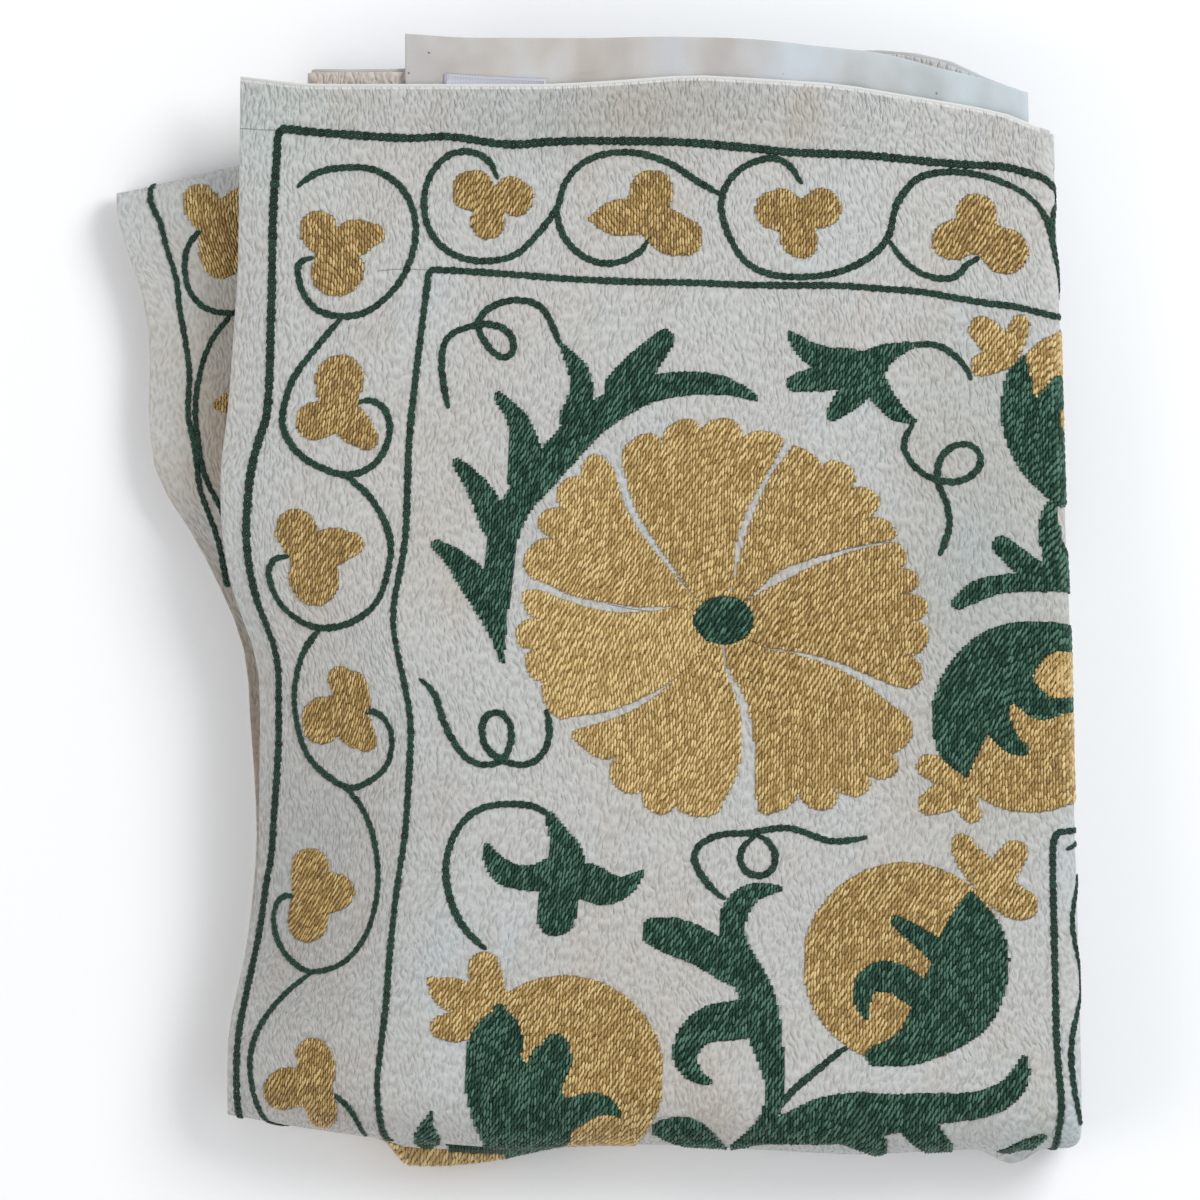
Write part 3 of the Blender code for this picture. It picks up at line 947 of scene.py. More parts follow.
OUTER_LINE = ((328, 46), (326.2, 42.3), (322.3, 38.2), (317.2, 35.7), (286.6, 31.6),
              (256, 28.6), (238, 27.6), (220, 26.9), (206, 25.4), (192, 24.1), (178, 23),
              (164, 22.5), (150, 22.4), (136, 22.4), (122, 22.8), (115, 23.6), (108, 23.8),
              (101, 23.2), (94, 22), (87, 21), (80, 20.6), (64, 21.2), (24, 18.2), (16, 18),
              (14.8, 26), (12.8, 66), (11.2, 126), (8, 140), (4.3, 154), (2.6, 170),
              (2.3, 180), (3.1, 190), (5.1, 201), (7.3, 208.6), (10.4, 216.4), (13.2, 224.2),
              (14.8, 232), (15.2, 248), (15.2, 263), (14.3, 279), (13.2, 294), (12, 310),
              (9.4, 325), (3, 366.8), (0.2, 383.7), (-1.5, 397.7), (-1, 411.7), (0, 420))
INNER_LINE = ((331, 93.2), (329, 92.8), (317.2, 90.3), (301.9, 87.7), (286.6, 85.2),
              (271.3, 82.6), (244, 80.5), (184, 79.2), (112, 76), (80, 74), (76, 74.4),
              (74.4, 84), (68, 138), (66, 182), (61.2, 214), (68, 254), (66, 298), (62, 326),
              (59.6, 350), (58.5, 366.8), (56.3, 386.5), (55.1, 400.5), (56.8, 418.4),
              (60, 423))
SECOND_FRAME = ((338, 298), (330, 298.4), (326.4, 300), (325.2, 305), (325.3, 322.8),
                (325.8, 344), (326.6, 380), (327.6, 395), (328.6, 409), (327.2, 420.6),
                (325.6, 427), (324, 434))

EDGE_VINE = ((334.6, 316), (333.4, 328), (333, 337), (334.6, 347), (336.4, 359), (335, 370),
             (333.2, 379), (332.4, 388), (333.4, 400), (335.2, 410), (336.4, 418))


# How much darker the border's silk is drawn: on the outer chain line it is painted shade for the
# shadowed gaps between the loops; on the trefoils it is a darker tone.
BORDER_DARKER_AND_GAP_SHADE = -0.10


def make_borders():
    """The straight lines of chain stitch that frame the border."""
    lines = [chain(smooth(on_front(OUTER_LINE)), 2.1 * MM, shade=BORDER_DARKER_AND_GAP_SHADE),
             chain(smooth(on_front(INNER_LINE)), 1.75 * MM),
             chain(smooth(on_front(SECOND_FRAME)), 1.65 * MM),
             chain(smooth(on_front(EDGE_VINE)), 1.2 * MM)]
    add_stitches("border_lines", lines, GREEN)


SCROLLS = (
    ((23, 40.4), (31, 35), (42, 33), (54, 34), (64.5, 41), (69.6, 51.6), (70, 63), (65.6, 76),
     (58.5, 85), (50, 91), (41, 92.5), (31.6, 90.4), (25.6, 84), (23.2, 76), (23.6, 71),
     (28.8, 69)),
    ((40.4, 93.2), (31.6, 103.6), (21.6, 116.8), (17.2, 130), (17.6, 138.8), (24, 148),
     (32.8, 153.2), (42, 156), (50.4, 154), (56.8, 148), (60, 138), (57.6, 129.2),
     (51.2, 126), (47.2, 127.2)),
    ((42, 156), (52, 164.8), (59.2, 178), (60, 190), (55.2, 206), (44.8, 214.8), (32, 217.2),
     (22, 213.2), (14.4, 205.2), (11.2, 194.8), (14.4, 189.2), (18.8, 188.8)),
    ((32, 217.2), (24.8, 228), (21.6, 242), (23.2, 258), (28.8, 270.8), (42, 280.8),
     (51.2, 278.8), (58.8, 272), (60.8, 261.2), (57.2, 252.8), (51.2, 250.4), (48.8, 252.4)),
    ((42, 280.8), (48.8, 289.2), (53.6, 302), (55.2, 320), (51.2, 338), (42, 350.8),
     (29.2, 355.2), (20.8, 350.8), (14.8, 342), (13.2, 332), (16, 325.2), (20.8, 324.4)),
    ((29.2, 355.2), (20.9, 362.3), (13.6, 370.8), (7.5, 381.4), (4.4, 391.5), (4.7, 400.5),
     (6.9, 408.9), (11, 415), (19, 421)),
    ((36.4, 404.1), (39.2, 405), (42.8, 408.3), (46.2, 413.4), (50.1, 420.5)),
    ((102.8, 37.2), (100, 30.8), (92.8, 26.8), (83.6, 28), (76, 36.4), (73.6, 47.6),
     (76, 58.4), (83.6, 66.8), (95.6, 70.4), (109.2, 68.4), (118.4, 60.4), (126.8, 49.2),
     (129.6, 40), (136, 32), (146, 27.6), (158.8, 27.2), (171.6, 31.2), (182.8, 38.4),
     (192, 43.6)),
    ((126.8, 49.2), (128.4, 58.4), (134.8, 66.8), (144, 71.2), (153.2, 70.4), (160.8, 66),
     (163.6, 61.2)),
    ((224.4, 39.2), (220.4, 32.8), (213.2, 29.2), (202.8, 32), (195.6, 38.4), (192.4, 47.6),
     (194.8, 58.4), (201.2, 69.6), (210.4, 75.2), (223.2, 76.8), (238, 75.2), (250.8, 69.6),
     (259.2, 61), (262.6, 47.9), (268.8, 39.3), (274.4, 36), (284.6, 34.7), (296.8, 36.2),
     (307, 39.8), (314.7, 43.9), (320.8, 50.5), (323.9, 57.6), (325.9, 66.8), (327.4, 77),
     (330, 86)),
    ((259.6, 62), (262.2, 66), (266.2, 70.9), (272.8, 75.5), (280.5, 77.5), (286.6, 76.5),
     (290.7, 71.9), (295.3, 69.4)),
    ((327, 46), (325.6, 50), (324.9, 57), (325.4, 64)),
    ((331, 305.6), (334, 303.6), (337.5, 303)),
)


def make_scrolls():
    """The curling vines of the border."""
    add_stitches("scroll_vines", [chain(smooth(on_front(line)), 1.75 * MM, 2, 2)
                                  for line in SCROLLS], GREEN)


# Trefoils: the slant of the stitches in degrees, then the lobes as across, down and width
TREFOILS = (
    (3, ((38, 66, 12), (32, 59, 15.2), (31.4, 57.6, 15)),
     ((39, 64, 12), (47, 61, 14.5), (54, 59.5, 8)), ((38, 67, 15), (38.8, 73.6, 22))),
    (5, ((39, 129, 15), (39.5, 121, 18.4), (39.9, 117.4, 19.4)),
     ((39, 131, 13), (33, 133.5, 14.5), (29.6, 134.6, 15.2)),
     ((40, 131, 14), (46.4, 137.2, 13.5), (50.7, 141.5, 9.4))),
    (15, ((26, 188, 12), (22.8, 179.6, 16), (22.2, 177.6, 16.4)),
     ((28, 187, 14), (38, 184.6, 15.2), (44.8, 183.8, 9.6)),
     ((28, 188, 15), (29.3, 196, 20), (30, 199, 19))),
    (12, ((40, 237.4, 10), (43.2, 241, 15), (45.8, 247, 13.6)),
     ((43, 251, 14), (34, 253.6, 18), (32.6, 255.4, 16.4)),
     ((42, 251, 15), (47, 258.5, 14), (50.6, 262.4, 8.6))),
    (28, ((28.5, 323, 15), (27.8, 312.8, 15.4)),
     ((30, 323, 15), (35, 323, 17), (38.2, 322.8, 15)), ((28.5, 323, 15), (27, 335.4, 15.6))),
    (14, ((30, 401, 14), (31.2, 393.5, 14.6), (29.8, 389, 13.8)),
     ((29, 401, 14), (20, 401.4, 15.5), (16.8, 402.6, 15.2)),
     ((30, 400, 13), (32.2, 408, 12.6), (33, 411.5, 12))),
    (10, ((100, 48, 10), (94.4, 43, 16.4), (93, 42.4, 16.8)),
     ((100, 48, 10), (108.6, 44.8, 16.2), (109.6, 44.8, 16)), ((100, 47, 11), (99.2, 54.8, 14))),
    (-6, ((161.8, 52, 15), (164.8, 42.6, 17.6)),
     ((163, 53, 13), (153, 53, 14.4), (146, 53.4, 11), (141, 53.6, 3)),
     ((164, 53, 14), (172, 59, 17.4), (177.6, 60.8, 15.4))),
    (9, ((224, 53, 13), (216, 50.3, 17.6), (213.6, 50, 15.4)),
     ((224, 54, 11), (232.6, 49.2, 16)), ((223.6, 53, 12), (223.8, 61, 14.8), (224.8, 63, 13))),
    (28, ((294, 61, 14), (294.4, 52, 16.2), (293.6, 50.6, 14.2)),
     ((294, 59, 12), (286, 61.8, 16.4), (284.8, 62.2, 15.8)),
     ((296, 60, 12), (306.2, 66.6, 18.4))),
)


def make_trefoils():
    """The gold trefoils of the border, three lobes each."""
    for number, (slant, *lobes) in enumerate(TREFOILS):
        outlines = [stroke(lobe) for lobe in lobes]
        add_stitches(f"trefoil_{number + 1}",
                     fill(outlines, slant=slant, shade=BORDER_DARKER_AND_GAP_SHADE), GOLD)


# The rosette, in degrees from the right, turning to the left. Each petal has the gap before it,
# as degrees and half widths at the gap's radii, and its lobes' tips with the notches between.
ROSETTE = (193.5, 214.1)
ROSETTE_EYE = (12.1, 9.6)
SHOULDER = 75.0
GAP_RADII = (14, 30, 46, 62, 76)
Petal = namedtuple("Petal", "turns openings lobes")
PETALS = (
    Petal((40, 37.6, 31.7, 28.2, 24.3), (0.3, 2.4, 1.4, 0.7, 0.6),
          ((27.7, 77.6), (35.1, 69.6), (38.5, 79.1), (45.8, 72.4), (50.5, 79.3), (57.5, 72.9),
           (64, 75.5))),
    Petal((76, 78.8, 76, 72.4, 69.2), (0.2, 1.4, 1.7, 0.9, 2.2),
          ((75.6, 77.5), (84.2, 72), (88.9, 80.9), (96.9, 75.7), (100.9, 81.9), (109.2, 74.4),
           (114, 81.3))),
    Petal((141.7, 134.5, 132.3, 129, 123.2), (0.2, 1.1, 1.5, 1.9, 2.2),
          ((128.8, 84.8), (134.8, 79.4), (140.2, 85), (145.3, 77.3), (151.2, 84.7), (154.5, 74.5),
           (162.5, 83.6))),
    Petal((161, 172.8, 173.8, 172.2, 168.6), (0, 0.8, 1.9, 1.4, 1.8),
          ((172.4, 81), (179.4, 74.1), (184.1, 83.8), (188.8, 74.9), (191.8, 81.3),
           (199, 75.2), (204.6, 78.8))),
    Petal((235, 230.4, 225, 218.8, 212.6), (0, 0.2, 1.4, 2.2, 3.0),
          ((218.4, 76.4), (231.5, 69.5), (238.5, 79.6), (244.5, 74.7), (250.9, 82), (255.1, 75.3),
           (262, 79.3))),
    Petal((268, 283.6, 282, 278.8, 273.5), (0.3, 1.7, 2.2, 3.9, 7.6),
          ((283, 79.8), (293.3, 75.2), (299.6, 86.5), (303.8, 79.4), (309.5, 89.3), (313, 83.5),
           (318.5, 92), (321.5, 85.3), (328.5, 88.6))),
    Petal((321, 336.4, 338.7, 337.6, 335.8), (0, 0.6, 1.2, 1.8, 4.0),
          ((344.4, 82.4), (349.2, 74.4), (355.6, 82.3), (359.9, 75.6), (363.9, 81.9),
           (368.3, 72.4), (371.7, 79.6), (376.3, 72.4), (379.4, 77.5))),
)


# How much lighter each petal is drawn, lightest on the rosette's left
PETAL_SHADES = (0.02, 0.04, 0.10, 0.18, 0.10, 0.02, 0.0)


def petal_outline(petal, following):
    """A petal's two sides and its lobed rim, round the rosette's middle."""
    radii = np.linspace(8.0, SHOULDER, 22)

    def edge(gap, side):
        turn = np.interp(radii, GAP_RADII, gap.turns)
        turn = np.convolve(np.pad(turn, 2, mode="edge"), np.ones(5) / 5, mode="valid")
        return np.radians(turn) + side * np.interp(radii, GAP_RADII, gap.openings) / radii

    first = edge(petal, 1.0)
    last = edge(following, -1.0)
    last = last + 2 * pi * np.rint((first[-1] - last[-1] + pi) / (2 * pi))
    marks = [(first[-1], SHOULDER), *((radians(turn), size) for turn, size in petal.lobes),
             (last[-1], SHOULDER)]
    quarter = np.linspace(0.0, pi / 2, 6)
    turns, sizes = [first], [radii]
    for notch, tip, next_notch in zip(marks[0::2], marks[1::2], marks[2::2]):
        for low, part in ((notch, quarter), (next_notch, quarter[::-1])):
            turns.append(low[0] + (tip[0] - low[0]) * (1.0 - np.cos(part)))
            sizes.append(low[1] + (tip[1] - low[1]) * np.sin(part))
    turn = np.concatenate(turns + [last[::-1]])
    size = np.concatenate(sizes + [radii[::-1]])
    return on_front(np.column_stack((ROSETTE[0] + size * np.cos(turn),
                                     ROSETTE[1] - size * np.sin(turn))))


def make_rosette():
    """The gold rosette, petal by petal, and its green eye."""
    eye = disc(*ROSETTE, *ROSETTE_EYE)
    for number, petal in enumerate(PETALS):
        outline = petal_outline(petal, PETALS[(number + 1) % len(PETALS)])
        add_stitches(f"rosette_petal_{number + 1}",
                     fill([outline], [eye], shade=PETAL_SHADES[number]), GOLD)
    add_stitches("rosette_eye", fill([eye], slant=26.0), GREEN)


DRAWN_LINES = (
    ((147.5, 207.7), (157, 209.6), (167, 210.6), (176, 210.4), (182, 209.8)),
    ((168, 241.2), (176.3, 235.3), (180.6, 231), (185.6, 225.4), (187, 223)),
    ((204, 222.6), (207.5, 223), (210.9, 224.4), (215, 225), (226, 226.2)),
    ((240, 186.2), (250, 184.2), (258.7, 182.8), (264, 183.6)),
    ((175, 196.8), (182.4, 205.2)),
    ((55, 74.4), (64, 73.6), (76, 74)),
    ((0, 17.2), (8, 17.7), (16, 18)),
)


def make_drawn_lines():
    """The maker's guide lines that show between the motifs."""
    add_stitches("drawn_lines", [drawn(smooth(on_front(line), 6)) for line in DRAWN_LINES],
                 PENCIL)


# Pomegranates: a gold fruit, its crown's lobes, the green leaf that wraps it, and a gold knob
# that the leaf curls round, if there is one
Pomegranate = namedtuple("Pomegranate", "fruit crown leaf knob")
POMEGRANATES = (
    Pomegranate(
        (266, 351.4, 40.8, 40.4),
        (((288.6, 303.8, 9), (292, 309.5, 11), (300, 318, 14)),
         ((310, 307.2, 10.6), (306.5, 312, 12), (301, 319, 14)),
         ((313, 328, 12.6), (308.5, 326, 13.5), (301, 320, 14))),
        (((292.2, 323, 1.6), (292.6, 331.4, 16), (293, 341.5, 26.5), (292.6, 353, 30),
          (287.2, 365.6, 32.4), (279, 375.6, 26), (268.4, 384.4, 15.6), (258, 387.6, 9.6),
          (254.4, 388.4, 8)),
         ((262.2, 334.5, 4.5), (268, 338.4, 7), (275, 343.4, 8.6), (283, 349.6, 11)),
         ((250.2, 373, 2.4), (248.9, 366.4, 7), (250.4, 359.8, 9.5), (256, 356.8, 12.4),
          (263.4, 358, 12.6), (272, 364.2, 11.6))), None),
    Pomegranate(
        (129.8, 396, 39.8, 39.8),
        (((97.6, 353, 12.6), (99, 360, 13.5), (101, 369, 13)),
         ((76.6, 358.6, 3.5), (81, 362, 11), (88, 365, 14), (98, 368, 13)),
         ((81.4, 377, 10), (88, 376.4, 12.6), (98, 371, 13))),
        (((104.2, 370, 5), (104, 374.6, 15), (103, 381, 20.5), (101.6, 388, 22),
          (102.6, 396, 26), (107, 405, 33), (114, 415, 39)),
         ((126.2, 385.4, 11.5), (125.2, 388.6, 16), (120.6, 398, 17), (114, 408, 20)),
         ((151.4, 411.6, 2.6), (147, 408.6, 7.4), (141, 408, 9.8), (133, 411, 12.4),
          (124, 415, 16))), None),
    Pomegranate(
        (316.2, 253.8, 37.6, 37.3),
        (((275.4, 272.4, 9.5), (281, 274.8, 11), (288, 280, 13)),
         ((275.8, 287.4, 9.5), (281, 285, 12), (289, 281, 13)),
         ((292.6, 291.6, 7.5), (290.6, 287, 9.5), (289, 280, 12))),
        (((290.6, 276, 2.2), (288.4, 268.6, 14), (287.8, 262, 19.8), (289.4, 252, 26),
          (296, 239.8, 29.4), (307, 228.8, 26.8), (319.4, 222, 15.2), (332, 221.4, 10.4),
          (342, 224, 9.4)),
         ((313.6, 266, 4.6), (308.8, 263.6, 8), (304, 257.6, 10.5), (300.5, 248, 15)),
         ((342, 246, 6), (329, 248.4, 6.2), (321, 248.8, 10.6), (314, 243.5, 12),
          (309, 236, 16))), (328, 236, 8.6, 9.4)),
    Pomegranate(
        (339.5, 130.6, 34, 34),
        (((296.9, 97.6, 10.5), (301, 102, 11.5), (306, 108, 11)),
         ((312.2, 95.8, 7.6), (309.4, 102, 9.6), (306, 108, 11)),
         ((296.2, 112.2, 8.6), (300.6, 110.4, 10), (306, 108, 11))),
        (((313.4, 109.4, 2.4), (311.6, 117, 10), (311.4, 126, 13.4), (314, 137, 17.4),
          (320.6, 148.4, 20), (331, 159, 20)),
         ((327.4, 119.6, 7), (325, 130, 16), (327, 145, 18)),
         ((322.4, 123, 1.4), (318, 132, 12))), (334, 133.5, 6.4, 7.4)),
)


def make_pomegranates():
    """The gold fruits and the green leaves that wrap them."""
    for number, fruit in enumerate(POMEGRANATES):
        knob = [disc(*fruit.knob)] if fruit.knob else []
        leaf = [stroke(spine) for spine in fruit.leaf]
        gold = [disc(*fruit.fruit)] + [stroke(lobe) for lobe in fruit.crown]
        add_stitches(f"pomegranate_{number + 1}",
                     fill(gold, leaf) + (fill(knob) if knob else []), GOLD)
        add_stitches(f"pomegranate_leaf_{number + 1}", fill(leaf, knob), GREEN)


# Leafy sprays: rows of across, down and width
SPRAYS = (
    (((104, 223, 4), (103.2, 205.2, 9), (104, 189.6, 11.4), (106.6, 177.2, 11.5),
      (111.8, 166.2, 12), (120.4, 156.1, 13), (130.5, 144.4, 13.5), (140.6, 134.3, 13),
      (151.6, 127.2, 12), (164, 121.8, 10.5), (178.1, 119.4, 9.4), (190.6, 119.9, 8),
      (199.9, 122.2, 5), (206.2, 125.2, 2.6)),
     ((78.6, 183.7, 4), (86, 189.6, 8), (92.3, 196.7, 11.5), (97.7, 205.2, 11.5),
      (101.6, 214.6, 8.5), (103.7, 223.2, 4.5), (104.8, 230.2, 2)),
     ((87.1, 151.4, 4), (93.8, 159.2, 8), (98.5, 167, 10.5), (101.6, 175.6, 11)),
     ((103.2, 124.4, 3.5), (110.2, 132.7, 7.5), (112.9, 139.7, 10.5), (114.1, 147.5, 13),
      (112.9, 156.9, 12)),
     ((128.5, 103.8, 1.5), (134.4, 112.4, 6.9), (136.7, 119.4, 8.7), (136, 127.2, 10.9),
      (133.6, 133.5, 12)),
     ((169.8, 101.8, 8.2), (165, 107.2, 10.8), (160, 112.8, 13), (152.8, 121.3, 14.5))),
    (((268, 104.2, 3), (258.5, 107.6, 8), (251.6, 112.8, 15), (245, 115.5, 17)),
     ((220.2, 99.5, 2.5), (222.4, 102.3, 5), (228.5, 107.4, 8.5), (236.4, 110.5, 11),
      (244.3, 112, 13)),
     ((221.9, 119.3, 6.5), (226.5, 118.4, 8.5), (234.4, 117.1, 10.5), (243.7, 115.1, 13)),
     ((237.1, 131.6, 5.5), (240.4, 128.3, 8.5), (246.3, 121.7, 12), (250.3, 116.4, 13)),
     ((252.9, 118.4, 11), (257.5, 125, 8.5), (262.8, 130.9, 6.8), (268.8, 134.2, 3))),
    (((123.8, 292.4, 4), (127.4, 299.6, 7.5), (130.4, 307, 13), (130.2, 315.2, 16.5),
      (128, 323, 16), (127, 329, 16.6), (126.4, 333, 15.2)),
     ((99, 305, 3.5), (100.6, 309.4, 6.5), (104.6, 314.2, 9.5), (111.2, 316.9, 9.8),
      (118.4, 317, 10.5), (125.6, 315.2, 13)),
     ((160.6, 315, 2.4), (156.8, 318.6, 6), (152, 321, 9.6), (146, 321.2, 13.6),
      (138, 318.5, 15))),
    (((196.7, 425.3, 1.5), (208.3, 416.5, 5), (213.5, 407.4, 7.3), (213.6, 397.6, 8),
      (211.6, 386.4, 11.5), (209.2, 375.2, 14), (206.8, 364, 13.5), (202, 354.2, 13),
      (197.8, 345.8, 11.5), (196.7, 337.4, 10.5), (198.5, 329.7, 10.5), (203.4, 324.1, 8.5),
      (209, 322, 5.5), (215.3, 321.4, 3)),
     ((166.6, 338.8, 12), (172.6, 340.4, 14.6), (181, 343.4, 15), (189.4, 347.9, 14.5),
      (197, 353.5, 13)),
     ((206.2, 372.4, 15), (197.8, 374.3, 15.6), (189.4, 375.2, 14.6), (181.6, 379.8, 12),
      (178, 388.6, 9.5), (181.7, 395.5, 6.5), (187.7, 398.7, 2.5))),
    (((197, 425.6, 1.5), (208, 420.5, 7), (220, 417.5, 13), (234, 414.5, 19),
      (248, 412.4, 19), (262, 411.4, 15.5), (276, 409.6, 12.6), (290, 408.7, 11),
      (300, 406.6, 10.6), (307.5, 402.5, 9.5), (312, 396.5, 7.6), (313.6, 390, 3.6)),
     ((240, 416, 14), (249, 420, 13), (255, 424.6, 9)),
     ((268, 414, 12), (274, 419.6, 12.6), (281, 426, 9)),
     ((165.6, 419, 2.5), (168.4, 418, 7.5), (176.8, 418.6, 11.6), (183.8, 420.9, 10),
      (189.4, 424, 6), (193.6, 426, 2))),
    (((287.4, 207.3, 5.2), (293.8, 202.9, 8), (304.4, 199.6, 7.5), (315, 198.9, 7.6),
      (325.5, 198.2, 9), (333, 197.6, 11)),
     ((304.6, 184, 7.5), (310.3, 189, 9), (317.6, 194.3, 9), (325.5, 197, 11)),
     ((324.4, 168.8, 5), (323.6, 176, 8), (325, 185, 9), (328.8, 194.3, 13),
      (334, 198, 12))),
    (((304.5, 428.8, 2.5), (310, 426.8, 5), (316, 424, 5), (321, 421.3, 3)),),
    (((77, 411, 1.2), (75.4, 415, 4), (74.4, 419, 8), (74.4, 422.4, 11)),),
)


def make_leaves():
    """The green sprays round the rosette and the fruits."""
    for number, spray in enumerate(SPRAYS):
        outlines = [stroke(spine) for spine in spray]
        add_stitches(f"leaf_spray_{number + 1}", fill(outlines), GREEN)


TENDRILS = (
    ((128.4, 104.4), (121.2, 89.6), (110.8, 86), (100.4, 88.8), (95.2, 94.8), (96.8, 100.8),
     (102, 107.6), (107.6, 108.8), (109.6, 103.6), (106.4, 98), (98.8, 95.6), (90, 97.2),
     (83.2, 100.8), (80.8, 108), (81.2, 118.4), (83.2, 128.8)),
    ((267, 104), (278, 103.9), (284.6, 107.2), (289.6, 112), (292.4, 117.4)),
    ((269.4, 135.5), (266.8, 139.5), (265.5, 144.1), (267.4, 149.4), (272.1, 154.7),
     (278.7, 158), (287.2, 158.6), (293.8, 155.3), (296.5, 150.1), (294.5, 145.4),
     (289.9, 143.5), (284.6, 144.8), (280.6, 148.7), (279.1, 153.4), (279.3, 160),
     (282, 165.2), (283.3, 170.5), (283.9, 175.8), (282.6, 181.1), (280, 187.7)),
    ((72.2, 237.8), (77.6, 243.2), (81.2, 254), (86, 263.6), (92, 270.2), (99.2, 272),
     (105.2, 269.6), (108.2, 263.6), (108.2, 256.4), (105.2, 251.6), (101, 251),
     (97.4, 254), (96.8, 260), (99.2, 266), (105.2, 270.2), (112.4, 272), (118.4, 270.2),
     (122.6, 264.8), (123.8, 257.6), (122.6, 250.4)),
    ((98, 345.6), (90.8, 338.6), (86, 330.8), (83, 321.2), (82.4, 311.6), (84.8, 302),
     (90.2, 293.6), (98, 288.8), (108.8, 287.6), (118.4, 288.8), (124.4, 293)),
    ((193.6, 325.5), (188, 320.6), (183.1, 313.6), (181.7, 307.3), (185.9, 302.4),
     (193.6, 299.6), (203.4, 299.3), (210.4, 297.9), (218.8, 297.1), (225.8, 298.9),
     (235.6, 302.4), (244, 302.1), (250.3, 301)),
    ((206.2, 300.3), (202, 303.8), (199.9, 308.7), (202, 314.3), (207.6, 316.4),
     (212.5, 314.3), (214.3, 308.7), (211.8, 303.1), (207.6, 300.3)),
    ((216, 408.8), (221.6, 401.8), (230, 394.8), (238.4, 387.8), (242.6, 385)),
)


def make_tendrils():
    """The thin curling stems in the field."""
    add_stitches("tendrils", [chain(smooth(on_front(line)), 1.75 * MM, 2, 2)
                              for line in TENDRILS], GREEN)


REAR_LINES = (
    ((-35, 35), (-36.4, 41), (-36.4, 46), (-32.4, 54.8), (-29.6, 66), (-26, 78), (-24.8, 89.2),
     (-22.4, 102.4), (-20.8, 116.8), (-21.2, 133.2), (-18, 150), (-13, 172), (-6, 200)),
    ((-16.4, 57.6), (-21.2, 63.6), (-22.8, 72), (-21.2, 81.2), (-15.2, 88.4), (-7.2, 90.8),
     (0, 90.4), (10, 88)),
    ((-4.8, 92.4), (-11.2, 100.4), (-15.2, 109.6), (-17.6, 120), (-18.4, 133.2), (-17, 146),
     (-10, 166), (-3, 184)),
)
REAR_TREFOILS = (
    (((-9, 57, 14), (-15.6, 48, 14.6), (-17, 45.4, 13)), ((-8, 58, 15), (-2, 50, 15), (1, 48, 15)),
     ((-9, 57, 16), (-8, 68, 18))),
    (((-11, 128, 2), (-7, 127, 7), (0, 127, 13), (8, 127, 14)),),
)


def make_rear_border():
    """The border of the layer that has slipped out behind."""
    add_stitches("rear_border", [chain(smooth(on_rear(line)), 1.5 * MM)
                                 for line in REAR_LINES], GREEN)
    for number, lobes in enumerate(REAR_TREFOILS):
        outlines = [stroke(lobe, on_rear) for lobe in lobes]
        add_stitches(f"rear_trefoil_{number + 1}", fill(outlines, slant=4.0), GOLD)


# What shows of the lower layers' stitching under the bottom fold, on the flat cloth
LOWER_GOLD = ((64, 443), (96, 441.5), (120, 443), (123, 449), (115, 458), (98, 466), (80, 472),
              (66, 470))
LOWER_GREENS = (((98, 438), (121, 438), (150, 436.5), (154, 446), (136, 455), (121, 452),
                 (120, 443.4), (100, 442.8)),)


def make_lower_layer():
    """The gold and green that peep out under the bottom fold."""
    gold = np.array(LOWER_GOLD) * MM
    greens = [np.array(outline) * MM for outline in LOWER_GREENS]
    add_stitches("lower_gold", fill([gold], greens), GOLD)
    add_stitches("lower_green", fill(greens), GREEN)


# Assembly

LABEL_INSET = 0.016
LABEL_LENGTH = 0.042
LABEL_DOWN = (0.0128, 0.0308)
LABEL_TURN = radians(2.4)
LINING_STRIP = (2.0 * MM, 24.0 * MM)


def make_cloths():
    """The face cloth, the lining and the label, each in place of its solid."""
    face = make_sheet(
        "ground_sheet",
        grid_lines(COLUMNS, (4 * MM, 18 * MM, 18 * MM, 18 * MM), (12, 6, 6, 0)),
        grid_lines(ROWS, (4 * MM, 13 * MM, 13 * MM, 13 * MM), (16, 10, 8, 0), extra=HEM_STEP),
        SEWN_GAP / 2, SEWN_GAP / 2 + FACE_THICK, "face_cloth", GROUND)
    strip = tuple(np.linspace(*LINING_STRIP, 10))
    lining = make_sheet(
        "lining_sheet",
        grid_lines(COLUMNS, (13 * MM, 15 * MM, 15 * MM, 5 * MM), (8, 6, 6, 0)),
        grid_lines(ROWS, (12 * MM, 15 * MM, 15 * MM, 15 * MM), (14, 8, 6, 0), -LINING_PROUD,
                   strip),
        -SEWN_GAP / 2 - LINING_THICK, -SEWN_GAP / 2, "lining", BACKING)
    side = CLOTH_WIDTH - LABEL_INSET
    top = -SEWN_GAP / 2 - LINING_THICK - SEWN_GAP
    label = make_sheet(
        "blank_label", list(np.linspace(side - LABEL_LENGTH, side, 13)),
        list(np.linspace(*LABEL_DOWN, 7)), top - LABEL_THICK, top, "label", TAPE,
        LABEL_TURN)
    return face, lining, label


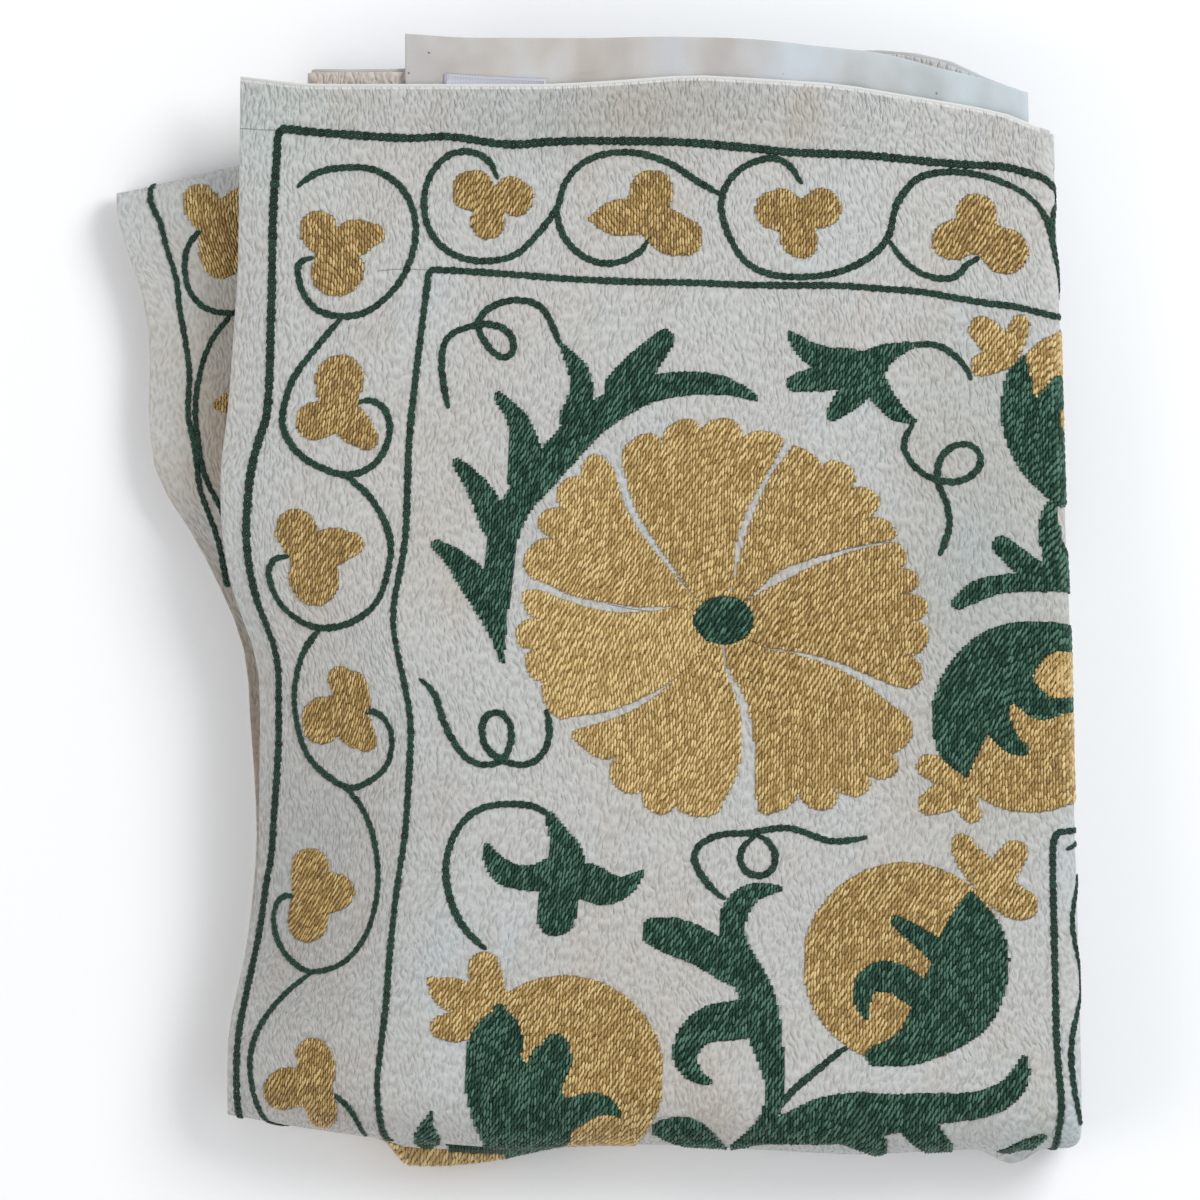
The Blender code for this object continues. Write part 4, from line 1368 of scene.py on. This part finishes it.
FLOOR_HALF = 3.0
FLOOR_DROP = 0.0005
ROOM_TINT = (0.93, 0.96, 1.0)
ROOM_STRENGTH = 0.62
Light = namedtuple("Light", "name place size power tint")
LIGHTS = (
    Light("window", (1.2, 0.9, 1.4), 1.0, 25.0, (0.95, 0.98, 1.0)),
    Light("lamp", (-1.3, -0.5, 1.2), 1.2, 8.0, (1.0, 0.93, 0.84)),
)
VIEW_WIDTH = 0.480
VIEW_MIDDLE = (0.144, -0.206, 0.0)
CAMERA_RISE = 8.0
SENSOR_WIDTH = 36.0


def make_stage():
    """A plain pale floor, soft light and the camera straight above."""
    floor_mesh = bmesh.new()
    bmesh.ops.create_grid(floor_mesh, x_segments=1, y_segments=1, size=FLOOR_HALF)
    data = bpy.data.meshes.new("floor")
    floor_mesh.to_mesh(data)
    floor_mesh.free()
    paint = Finish("floor_white")
    paint.shader({"Base Color": (0.95, 0.95, 0.955), "Roughness": 0.9})
    data.materials.append(paint.material)
    floor = bpy.data.objects.new("floor", data)
    floor.location.z = -FLOOR_DROP
    bpy.context.scene.collection.objects.link(floor)

    world = bpy.data.worlds.new("soft_room")
    bpy.context.scene.world = world
    world.use_nodes = True
    room = world.node_tree.nodes["Background"]
    room.inputs["Color"].default_value = (*ROOM_TINT, 1.0)
    room.inputs["Strength"].default_value = ROOM_STRENGTH
    for light in LIGHTS:
        lamp = bpy.data.lights.new(light.name, "AREA")
        lamp.size = light.size
        lamp.energy = light.power
        lamp.color = light.tint
        holder = bpy.data.objects.new(light.name, lamp)
        holder.location = light.place
        holder.rotation_euler = Vector(light.place).to_track_quat("Z", "Y").to_euler()
        bpy.context.scene.collection.objects.link(holder)

    middle = np.array(VIEW_MIDDLE) - SHIFT
    camera = bpy.data.cameras.new("camera")
    camera.sensor_width = SENSOR_WIDTH
    camera.lens = SENSOR_WIDTH * CAMERA_RISE / VIEW_WIDTH
    camera.clip_end = 20.0
    holder = bpy.data.objects.new("camera", camera)
    holder.location = (middle[0], middle[1], CAD_BOX[1][2] + CAMERA_RISE)
    bpy.context.scene.collection.objects.link(holder)
    bpy.context.scene.camera = holder
    bpy.context.scene.view_settings.view_transform = "Standard"


face, lining, label = make_cloths()
make_design()
make_stage()
